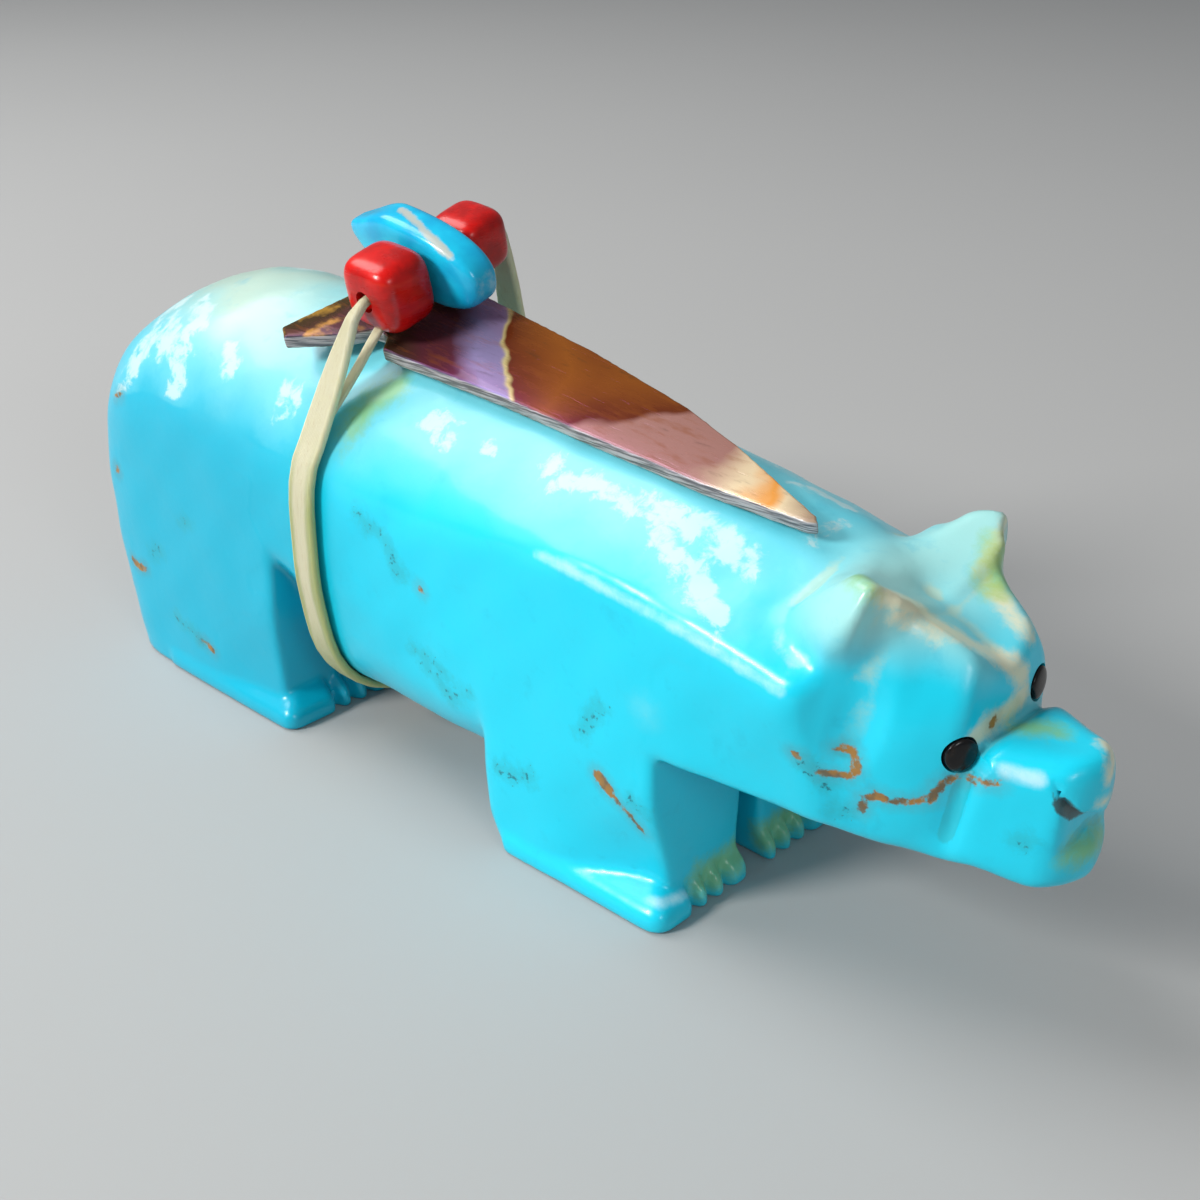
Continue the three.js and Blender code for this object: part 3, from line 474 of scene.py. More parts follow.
@dataclass(frozen=True)
class Carving:
    """The whole bear as a field, negative inside, stretched to its box in the model."""

    torso: Torso = Torso()
    underside: Underside = Underside()
    feet: Feet = Feet()
    head: Head = Head()
    ears: Ears = Ears()
    drawn_rump: float = -31.22
    drawn_nose: float = 30.26
    drawn_flank: float = 7.93
    drawn_back: float = 22.85
    ridge_rounding: float = 0.14
    sole_edge: float = 0.3
    wave_height: float = 0.035
    halvings: int = 20

    @property
    def middle(self) -> float:
        """Middle of the drawing's length."""
        return (self.drawn_nose + self.drawn_rump) / 2

    @property
    def stretch(self) -> Array:
        """How far the drawing is stretched along each axis to fill the model's box."""
        low, high = (np.array(corner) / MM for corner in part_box("bear"))
        drawn = np.array([self.drawn_nose - self.drawn_rump, 2 * self.drawn_flank, self.drawn_back])
        return (high - low) / drawn

    @property
    def back(self) -> float:
        """Height of the bear's back."""
        return self.drawn_back * self.stretch[2]

    def placed(self, x: float, y: float, z: float) -> Array:
        """Place on the bear of a place in the drawing."""
        return np.array([x - self.middle, y, z]) * self.stretch

    def drawn(self, x: Array, side: Array, z: Array) -> Array:
        """Field of the bear.

        Args:
            x, side, z: Places in the drawing.

        Returns:
            The field at each place.
        """
        y = np.hypot(side, self.ridge_rounding)
        block, flank = self.torso.shape(x, y, z)
        under = self.underside
        bear = smooth_max(block, -under.arch(x, y, z), 0.5)
        bear = smooth_max(bear, -under.chest(x, z), 0.5)
        bear = smooth_max(bear, flank + under.leg_inset(x, z), 0.5)
        front = self.feet.pair(x, y, z, flank, self.feet.front_heel, self.feet.front_toes)
        rear = self.feet.pair(x, y, z, flank, self.feet.rear_heel, self.feet.rear_toes)
        bear = smooth_min(bear, smooth_min(front, rear, 0.1), 0.35)
        off_centre = np.hypot(side - under.slot_offset, under.slot_rounding)
        bear = smooth_max(bear, -under.slot(under.front_slot_start - x, off_centre, z), 0.4)
        bear = smooth_max(bear, -under.slot(x - under.rear_slot_end, y, z), 0.4)
        bear = smooth_min(bear, self.head.shape(x, y, z), 0.9)
        bear = smooth_min(bear, self.ears.shape(x, y, z), 0.7)
        return smooth_max(bear, -self.ears.hollow(x, y, z), 0.4)

    def at(self, x: Array, y: Array, z: Array) -> Array:
        """Field at places on the bear."""
        sx, sy, sz = self.stretch
        return self.drawn(x / sx + self.middle, y / sy, z / sz)

    def polished(self, x: Array, y: Array, z: Array) -> Array:
        """Field with flat soles and the slight waviness of hand polishing.

        Args:
            x, y, z: Places on the bear.

        Returns:
            The field at each place.
        """
        wave = np.sin(0.9 * x + 0.7 * np.sin(0.55 * z)) * np.sin(0.8 * z + 0.5 * y + 1.3)
        wave = wave + 0.6 * np.sin(1.7 * x - 0.9 * z + 0.4 * y) * np.sin(1.3 * y + 0.8 * z)
        wear_and_highlight = self.at(x, y, z) + self.wave_height * wave * ease(0.5, 3, z)
        return smooth_max(wear_and_highlight, -z, self.sole_edge)

    def surface_points(self, origins: Array, directions: Array) -> Array:
        """Where lines from inside the bear come out of it.

        Args:
            origins: Starts of the lines, one row each, inside the bear.
            directions: Directions of the lines, one unit row each.

        Returns:
            The points on the bear's surface, one row each.
        """
        near = np.zeros(len(origins))
        far = np.full(len(origins), self.stretch[0] * (self.drawn_nose - self.drawn_rump) / 2)
        for _ in range(self.halvings):
            between = (near + far) / 2
            inside = self.at(*(origins + directions * between[:, None]).T) < 0
            near, far = np.where(inside, between, near), np.where(inside, far, between)
        return origins + directions * near[:, None]

    def back_heights(self, x: Array, y: Array) -> Array:
        """Height of the back.

        Args:
            x, y: Places on the bear.

        Returns:
            The height over each place.
        """
        inside = np.full_like(x, self.back / 2)
        origins = np.stack([x, y, inside], 1)
        return self.surface_points(origins, np.tile([0.0, 0.0, 1.0], (len(x), 1)))[:, 2]


def slope_of(at: Field, points: Array, step: float) -> Array:
    """Slope of a field at each point.

    Args:
        at: The field.
        points: Places, one row each.
        step: How far to each side the field is read.

    Returns:
        The field's slope along X, Y and Z, one row for each place.
    """
    slope = np.empty_like(points)
    for axis in range(3):
        offset = np.zeros(3)
        offset[axis] = step
        slope[:, axis] = (at(*(points + offset).T) - at(*(points - offset).T)) / (2 * step)
    return slope


# Meshes


@dataclass(frozen=True)
class Skin:
    """The surface where a field is zero, one corner for each grid cell that it crosses."""

    at: Field
    lines: tuple[Array, Array, Array]
    settling: int = 4
    slab_count: int = 12
    slope_step: float = 0.02
    least_steepness: float = 0.2
    cell_inset: float = 0.04

    def values(self) -> Array:
        """The field at every grid point, worked out slab by slab."""
        x, y, z = self.lines
        parts = np.array_split(x, self.slab_count)
        slabs = [self.at(part[:, None, None], y[None, :, None], z[None, None, :]) for part in parts]
        return np.concatenate([np.broadcast_to(slab, (len(slab), len(y), len(z))) for slab in slabs])

    def mesh(self) -> tuple[Array, Array]:
        """Corners, one row each, and four-sided faces as rows of corner numbers."""
        values = self.values()
        inside = values < 0
        shape = np.array(values.shape) - 1
        blocks = [tuple(slice(o, o + n) for o, n in zip(offset, shape)) for offset in np.ndindex(2, 2, 2)]
        count = sum(inside[block].astype(np.int8) for block in blocks)
        crossed = (count > 0) & (count < 8)
        number = np.full(crossed.shape, -1, dtype=np.int64)
        number[crossed] = np.arange(int(crossed.sum()))
        corners = self.settled(self.first_corners(values, inside, np.argwhere(crossed)), np.argwhere(crossed))
        return corners, self.faces(inside, number)

    def first_corners(self, values: Array, inside: Array, cells: Array) -> Array:
        """Mean of the places where the surface crosses each cell's edges.

        Args:
            values: The field at every grid point.
            inside: Where it is negative.
            cells: Numbers of the cells that the surface crosses, one row each.

        Returns:
            One place for each cell.
        """
        total = np.zeros((len(cells), 3))
        crossings = np.zeros(len(cells))
        for axis in range(3):
            u, v = (other for other in range(3) if other != axis)
            for a, b in np.ndindex(2, 2):
                start = cells.copy()
                start[:, u] += a
                start[:, v] += b
                end = start.copy()
                end[:, axis] += 1
                first, last = values[tuple(start.T)], values[tuple(end.T)]
                cut = inside[tuple(start.T)] != inside[tuple(end.T)]
                share = np.where(cut, first / np.where(cut, first - last, 1), 0)
                for n in range(3):
                    low, high = self.lines[n][start[:, n]], self.lines[n][end[:, n]]
                    total[:, n] += np.where(cut, low + (high - low) * share, 0)
                crossings += cut
        return total / crossings[:, None]

    def settled(self, points: Array, cells: Array) -> Array:
        """Corners moved onto the surface without leaving their cells.

        Args:
            points: Corners, one row each.
            cells: Numbers of their cells.

        Returns:
            The moved corners.
        """
        low = np.stack([self.lines[n][cells[:, n]] for n in range(3)], 1)
        high = np.stack([self.lines[n][cells[:, n] + 1] for n in range(3)], 1)
        inset = self.cell_inset * (high - low)
        for _ in range(self.settling):
            slope = slope_of(self.at, points, self.slope_step)
            steepness = np.maximum((slope ** 2).sum(1), self.least_steepness)
            points = points - slope * (self.at(*points.T) / steepness)[:, None]
            points = np.clip(points, low + inset, high - inset)
        return points

    def faces(self, inside: Array, number: Array) -> Array:
        """Four-sided faces round every grid edge that the surface crosses.

        Args:
            inside: Where the field is negative.
            number: Number of each cell's corner, or -1.

        Returns:
            Rows of corner numbers.
        """
        rows = []
        for axis in range(3):
            u, v = (axis + 1) % 3, (axis + 2) % 3
            inner = tuple(slice(1, n - 1) for n in inside.shape)
            ahead = tuple(slice(2, n) if i == axis else slice(1, n - 1) for i, n in enumerate(inside.shape))
            starts = np.argwhere(inside[inner] != inside[ahead]) + 1
            ring = []
            for a, b in ((1, 1), (0, 1), (0, 0), (1, 0)):
                cell = starts.copy()
                cell[:, u] -= a
                cell[:, v] -= b
                ring.append(number[tuple(cell.T)])
            quads = np.stack(ring, 1)
            outward = inside[tuple(starts.T)]
            rows.append(np.where(outward[:, None], quads, quads[:, ::-1]))
        return np.concatenate(rows)


def new_piece(name: str, corners: Array, faces: Array | Sequence[Sequence[int]]) -> Piece:
    """Object at the origin, with a smooth mesh in metres.

    Args:
        name: The piece's name.
        corners: Corners in millimetres, one row each.
        faces: Rows of corner numbers.

    Returns:
        The new object, in the scene.
    """
    mesh = bpy.data.meshes.new(name)
    mesh.from_pydata((np.asarray(corners) * MM).tolist(), [], [tuple(face) for face in faces])
    mesh.shade_smooth()
    piece = bpy.data.objects.new(name, mesh)
    bpy.context.scene.collection.objects.link(piece)
    return piece


def store(piece: Piece, name: str, values: Array) -> None:
    """Keep one number for each corner of a piece's mesh."""
    attribute = piece.data.attributes.new(name, "FLOAT", "POINT")
    attribute.data.foreach_set("value", np.ascontiguousarray(values, dtype=np.float32))


def corners_of(piece: Piece) -> Array:
    """Corners of a piece's mesh.

    Args:
        piece: The piece.

    Returns:
        The corners in millimetres, one row each.
    """
    flat = np.empty(3 * len(piece.data.vertices), dtype=np.float32)
    piece.data.vertices.foreach_get("co", flat)
    return flat.reshape(-1, 3).astype(float) / MM


def cut_away(piece: Piece, tools: Sequence[Piece]) -> None:
    """Cut tools out of a piece and delete them.

    Args:
        piece: The piece that is cut.
        tools: Closed pieces that are cut out of it.
    """
    for tool in tools:
        cut = piece.modifiers.new("cut", "BOOLEAN")
        cut.operation = "DIFFERENCE"
        cut.solver = "EXACT"
        cut.object = tool
    bake_modifiers(piece)
    for tool in tools:
        bpy.data.objects.remove(tool)


def bake_modifiers(piece: Piece) -> None:
    """Turn a piece with modifiers into a plain mesh.

    Args:
        piece: The piece.
    """
    evaluated = piece.evaluated_get(bpy.context.evaluated_depsgraph_get())
    made = bpy.data.meshes.new_from_object(evaluated)
    piece.modifiers.clear()
    old, name = piece.data, piece.data.name
    piece.data = made
    if old.users == 0:
        (bpy.data.curves if isinstance(old, bpy.types.Curve) else bpy.data.meshes).remove(old)
    made.name = name


def ring_faces(rings: int, around: int) -> Faces:
    """Faces of a round piece that has rings of corners and one corner at each pole.

    Args:
        rings: Rings between the poles.
        around: Corners in a ring.

    Returns:
        Rows of corner numbers, from the first pole to the last.
    """
    faces: Faces = []
    top = 1 + (rings - 1) * around
    for k in range(around):
        after = (k + 1) % around
        faces.append((0, 1 + after, 1 + k))
        for a in range(1, top, around):
            faces.append((a + k, a + after, a + around + after, a + around + k))
        faces.append((top + k, top + after, top + around))
    return faces


def lathe(name: str, outline: Sequence[tuple[float, float]], sides: int, seat: Array) -> Piece:
    """Round piece turned about its own Z axis, then put on a seat.

    Args:
        name: The piece's name.
        outline: Radius and height of each step, from the lower pole to the upper one.
        sides: How many sides the round has.
        seat: 4x4 matrix from the lathe to the model.

    Returns:
        The new object.
    """
    rings = [step for step in outline if step[0] > 0]
    angles = np.arange(sides) / sides * 2 * math.pi
    corners = [(0.0, 0.0, outline[0][1])]
    corners += [(r * math.cos(a), r * math.sin(a), h) for r, h in rings for a in angles]
    corners.append((0.0, 0.0, outline[-1][1]))
    placed = np.array(corners) @ seat[:3, :3].T + seat[:3, 3]
    return new_piece(name, placed, ring_faces(len(rings), sides))


def seat_matrix(place: Array, turn: Array) -> Array:
    """Matrix of a seat in the model.

    Args:
        place: The seat's place.
        turn: Its 3x3 rotation.

    Returns:
        4x4 matrix from the seat to the model.
    """
    matrix = np.eye(4)
    matrix[:3, :3] = turn
    matrix[:3, 3] = place
    return matrix


def turn_onto(normal: Array) -> Array:
    """Rotation that takes Z onto a normal.

    Args:
        normal: Unit normal.

    Returns:
        3x3 matrix.
    """
    helper = np.array([1.0, 0, 0]) if abs(normal[0]) < 0.9 else np.array([0, 1.0, 0])
    across = np.cross(helper, normal)
    across /= np.linalg.norm(across)
    return np.stack([across, np.cross(normal, across), normal], 1)


def rounded_block(size: Place, outline: float, edge: float, rings: int, around: int) -> tuple[Array, Faces]:
    """A rounded block, its poles at the ends of Y.

    Args:
        size: Full size along X, Y and Z.
        outline: Squareness of the outline in the XZ plane; 2 is round.
        edge: Squareness across the thickness along Y.
        rings: Rings of corners between the poles.
        around: Corners in a ring.

    Returns:
        Corners, one row each, and faces as rows of corner numbers.
    """
    tilt = (np.arange(1, rings + 1) / (rings + 1) - 0.5) * math.pi
    turn = np.arange(around) / around * 2 * math.pi
    ring = np.stack([np.cos(turn), np.zeros(around), -np.sin(turn)], 1)
    ball = [np.array([[0.0, -1.0, 0.0]])]
    ball += [ring * math.cos(a) + np.array([0, math.sin(a), 0]) for a in tilt]
    ball.append(np.array([[0.0, 1.0, 0.0]]))
    corners = np.concatenate(ball)
    flat = (np.abs(corners[:, 0]) ** outline + np.abs(corners[:, 2]) ** outline) ** (edge / outline)
    reach = (flat + np.abs(corners[:, 1]) ** edge) ** (-1 / edge)
    corners = corners * reach[:, None] * np.array(size) / 2
    return corners, [face[:1] + face[:0:-1] for face in ring_faces(rings, around)]


def face_outwards(piece: Piece) -> None:
    """Merge a closed piece's doubles and point its faces outwards.

    Args:
        piece: The piece.
    """
    shape = bmesh.new()
    shape.from_mesh(piece.data)
    bmesh.ops.remove_doubles(shape, verts=shape.verts, dist=TOUCHING)
    bmesh.ops.recalc_face_normals(shape, faces=shape.faces)
    shape.to_mesh(piece.data)
    shape.free()


def shade(piece: Piece, crisp_angle: float) -> None:
    """Shade a piece smooth, except along edges sharper than an angle in degrees."""
    piece.data.shade_smooth()
    piece.data.set_sharp_from_angle(angle=math.radians(crisp_angle))


def paint(piece: Piece, material: Material) -> None:
    """Give a piece one material."""
    piece.data.materials.clear()
    piece.data.materials.append(material)


def fit_frame(piece: Piece, slot: Slot, *nodes: str) -> None:
    """Seat a finished piece in the frame and report it.

    Args:
        piece: The finished piece.
        slot: The record's material slot for its finish; not used.
        nodes: Model nodes that it stands for.
    """
    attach(piece, BODY)
    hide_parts(*nodes)
    low, high = (np.round(corner, 2) for corner in (corners_of(piece).min(0), corners_of(piece).max(0)))
    log.info("%s: %d faces, from %s to %s mm", piece.name, len(piece.data.polygons), low, high)


# Node materials


class Wire:
    """A value in a node tree, whose arithmetic adds Math nodes."""

    def __init__(self, owner: "Tree", socket: Socket) -> None:
        """Keep the socket and the tree that it belongs to."""
        self.owner = owner
        self.socket = socket

    def maths(self, operation: str, *values: Any) -> "Wire":
        """Result of a Math node on some values."""
        node = self.owner.node("ShaderNodeMath", {"operation": operation}, dict(enumerate(values)))
        return Wire(self.owner, node.outputs[0])

    def __add__(self, other: Any) -> "Wire":
        """Sum with another value."""
        return self.maths("ADD", self, other)

    def __sub__(self, other: Any) -> "Wire":
        """Difference from another value."""
        return self.maths("SUBTRACT", self, other)

    def __rsub__(self, other: Any) -> "Wire":
        """Difference of another value from this one."""
        return self.maths("SUBTRACT", other, self)

    def __mul__(self, other: Any) -> "Wire":
        """Product with another value."""
        return self.maths("MULTIPLY", self, other)

    def __truediv__(self, other: Any) -> "Wire":
        """Quotient by another value."""
        return self.maths("DIVIDE", self, other)

    def __rtruediv__(self, other: Any) -> "Wire":
        """Quotient of another value by this one."""
        return self.maths("DIVIDE", other, self)

    __radd__ = __add__
    __rmul__ = __mul__

    def higher(self, other: Any) -> "Wire":
        """Larger of this and another value."""
        return self.maths("MAXIMUM", self, other)

    def rise(self, start: float, end: float) -> "Wire":
        """Smooth step between two values.

        Args:
            start: Value under which the step is 0.
            end: Value over which it is 1, or the other way round where it is the smaller one.

        Returns:
            The step.
        """
        values = {"Value": self, "From Min": min(start, end), "From Max": max(start, end)}
        ends = {"To Min": 0.0, "To Max": 1.0} if start < end else {"To Min": 1.0, "To Max": 0.0}
        node = self.owner.node("ShaderNodeMapRange", {"interpolation_type": "SMOOTHSTEP"}, values | ends)
        return Wire(self.owner, node.outputs[0])


class Tree:
    """A node tree that is laid out one node at a time."""

    def __init__(self, tree: bpy.types.NodeTree) -> None:
        """Keep the tree."""
        self.tree = tree

    def node(self, kind: str, settings: dict[str, Any], inputs: dict[Any, Any]) -> bpy.types.Node:
        """Add a node.

        Args:
            kind: The node's type.
            settings: Its own settings, set first; stops are a ramp's places and colours.
            inputs: Values or links of its sockets, by name or number.

        Returns:
            The new node.
        """
        made = self.tree.nodes.new(kind)
        for name, value in settings.items():
            if name == "stops":
                self.set_stops(made.color_ramp, value)
            else:
                setattr(made, name, value)
        for key, value in inputs.items():
            source = value.socket if isinstance(value, Wire) else value
            if isinstance(source, Socket):
                self.tree.links.new(source, made.inputs[key])
            else:
                made.inputs[key].default_value = source
        return made

    @staticmethod
    def set_stops(ramp: bpy.types.ColorRamp, stops: Sequence[tuple[float, Colour]]) -> None:
        """Give a ramp its stops.

        Args:
            ramp: The ramp.
            stops: Places and colours.
        """
        while len(ramp.elements) < len(stops):
            ramp.elements.new(1.0)
        for element, (place, colour) in zip(ramp.elements, stops):
            element.position = place
            element.color = (*colour, 1.0)

    def scaled(self, vector: Any, factor: Any) -> Socket:
        """A vector times a number."""
        values = {0: vector, "Scale": factor}
        return self.node("ShaderNodeVectorMath", {"operation": "SCALE"}, values).outputs[0]


class Recipe(Tree):
    """One node material, from its coordinates to its output."""

    def __init__(self, name: str) -> None:
        """Start an empty material.

        Args:
            name: The material's name.
        """
        self.material = bpy.data.materials.new(name)
        self.material.use_nodes = True
        super().__init__(self.material.node_tree)
        self.tree.nodes.clear()

    def place(self) -> Socket:
        """Object coordinates in millimetres."""
        return self.scaled(self.node("ShaderNodeTexCoord", {}, {}).outputs["Object"], 1 / MM)

    def stretched(self, place: Socket, factors: Place, turn: Place = (0, 0, 0)) -> Socket:
        """Coordinates for a pattern with a grain.

        Args:
            place: Coordinates.
            factors: How much each is stretched.
            turn: Degrees by which they are turned about each axis.

        Returns:
            The new coordinates.
        """
        rotation = tuple(math.radians(angle) for angle in turn)
        values = {"Vector": place, "Rotation": rotation, "Scale": factors}
        return self.node("ShaderNodeMapping", {}, values).outputs[0]

    def noise(self, place: Socket, size: float, detail: float = 2, roughness: float = 0.5) -> Wire:
        """Cloudy noise between 0 and 1, with features of a size in millimetres."""
        values = {"Vector": place, "Scale": 1 / size, "Detail": detail, "Roughness": roughness}
        return Wire(self, self.node("ShaderNodeTexNoise", {}, values).outputs[0])

    def bent(self, place: Socket, size: float, reach: float) -> Socket:
        """Coordinates pushed about by noise.

        Args:
            place: Coordinates.
            size: Size of the noise's features in millimetres.
            reach: How far they are pushed on average, in millimetres.

        Returns:
            The new coordinates.
        """
        noise = {"Vector": place, "Scale": 1 / size, "Detail": 3.0}
        wander = self.node("ShaderNodeTexNoise", {}, noise).outputs[1]
        values = {0: wander, 1: (2 * reach,) * 3, 2: place}
        return self.node("ShaderNodeVectorMath", {"operation": "MULTIPLY_ADD"}, values).outputs[0]

    def attribute(self, name: str) -> Wire:
        """A number kept at the mesh's corners."""
        settings = {"attribute_name": name, "attribute_type": "GEOMETRY"}
        return Wire(self, self.node("ShaderNodeAttribute", settings, {}).outputs["Fac"])

    def axis(self, place: Any, number: int) -> Wire:
        """One of the three coordinates."""
        return Wire(self, self.node("ShaderNodeSeparateXYZ", {}, {0: place}).outputs[number])

    def mix(self, factor: Any, first: Any, second: Any) -> Socket:
        """Colour between two colours."""
        a, b = (value if isinstance(value, Socket) else (*value, 1.0) for value in (first, second))
        return self.node("ShaderNodeMix", {"data_type": "RGBA"}, {0: factor, 6: a, 7: b}).outputs[2]

    def ramp(self, factor: Any, stops: Sequence[tuple[float, Colour]]) -> Socket:
        """Colour along a ramp."""
        return self.node("ShaderNodeValToRGB", {"stops": stops}, {0: factor}).outputs[0]

    def bump(self, height: Wire, depth: float) -> Socket:
        """Normal of a relief as deep as a depth in millimetres."""
        values = {"Height": height, "Distance": depth * MM, "Strength": 1.0}
        return self.node("ShaderNodeBump", {}, values).outputs[0]

    def finish(self, colour: Any, roughness: Any, normal: Any, **constants: Any) -> Material:
        """Close the material with its shader.

        Args:
            colour: Base colour.
            roughness: Roughness.
            normal: Normal, or None.
            constants: Other sockets of the shader, with underscores for the blanks in their names.

        Returns:
            The finished material.
        """
        values = {"Base Color": colour, "Roughness": roughness}
        if normal is not None:
            values["Normal"] = normal
        values |= {name.replace("_", " "): value for name, value in constants.items()}
        shader = self.node("ShaderNodeBsdfPrincipled", {}, values)
        self.node("ShaderNodeOutputMaterial", {}, {"Surface": shader.outputs[0]})
        return self.material


# Marks in the stone, and painted highlights and shade

FAR = 9.0  # distance given to a place that a mark can't reach
LOW = (6.0, 8.0)  # heights between which a mark seen from the top begins to show, and shows in full
GLANCING = (0.05, 0.3)  # how far a surface faces the side where a mark begins to show, and shows in full


class Seen(Enum):
    """From where a mark is drawn: the two axes it is drawn in, then the facing axis and its sign."""

    RIGHT = (0, 2, 1, -1)
    LEFT = (0, 2, 1, 1)
    TOP = (0, 1, 2, 1)
    BACK = (1, 2, 0, -1)


@dataclass(frozen=True)
class Mark:
    """A vein, patch, speck, painted highlight or painted shade along a path, drawn as it is seen from one
    side, or in space.
    """

    path: tuple[tuple[float, ...], ...]
    half_width: float
    seen: Seen | None = None

    def distance(self, points: Array, normals: Array) -> Array:
        """Distance from the mark's edge, large where the surface faces away.

        Args:
            points: Places, one row each.
            normals: The surface's unit normals there.

        Returns:
            One distance for each point, negative inside the mark.
        """
        flat = points if self.seen is None else points[:, self.seen.value[:2]]
        path = np.array(self.path, dtype=float)
        nearest = np.full(len(flat), np.inf)
        for start, end in zip(path, path[1:] if len(path) > 1 else path):
            along = end - start
            length = max(float(along @ along), 1e-9)
            share = np.clip((flat - start) @ along / length, 0, 1)
            nearest = np.minimum(nearest, np.linalg.norm(flat - start - share[:, None] * along, axis=1))
        nearest = nearest - self.half_width
        if self.seen is not None:
            facing = normals[:, self.seen.value[2]] * self.seen.value[3]
            nearest = nearest + FAR * (1 - ease(*GLANCING, facing))
        if self.seen is Seen.TOP:
            nearest = nearest + FAR * (1 - ease(*LOW, points[:, 2]))
        return nearest


def marks(seen: Seen | None, *lines: Any) -> tuple[Mark, ...]:
    """Marks seen from one side or in space, each a half width and then the places on its path."""
    return tuple(Mark(tuple(path), half_width, seen) for half_width, *path in lines)


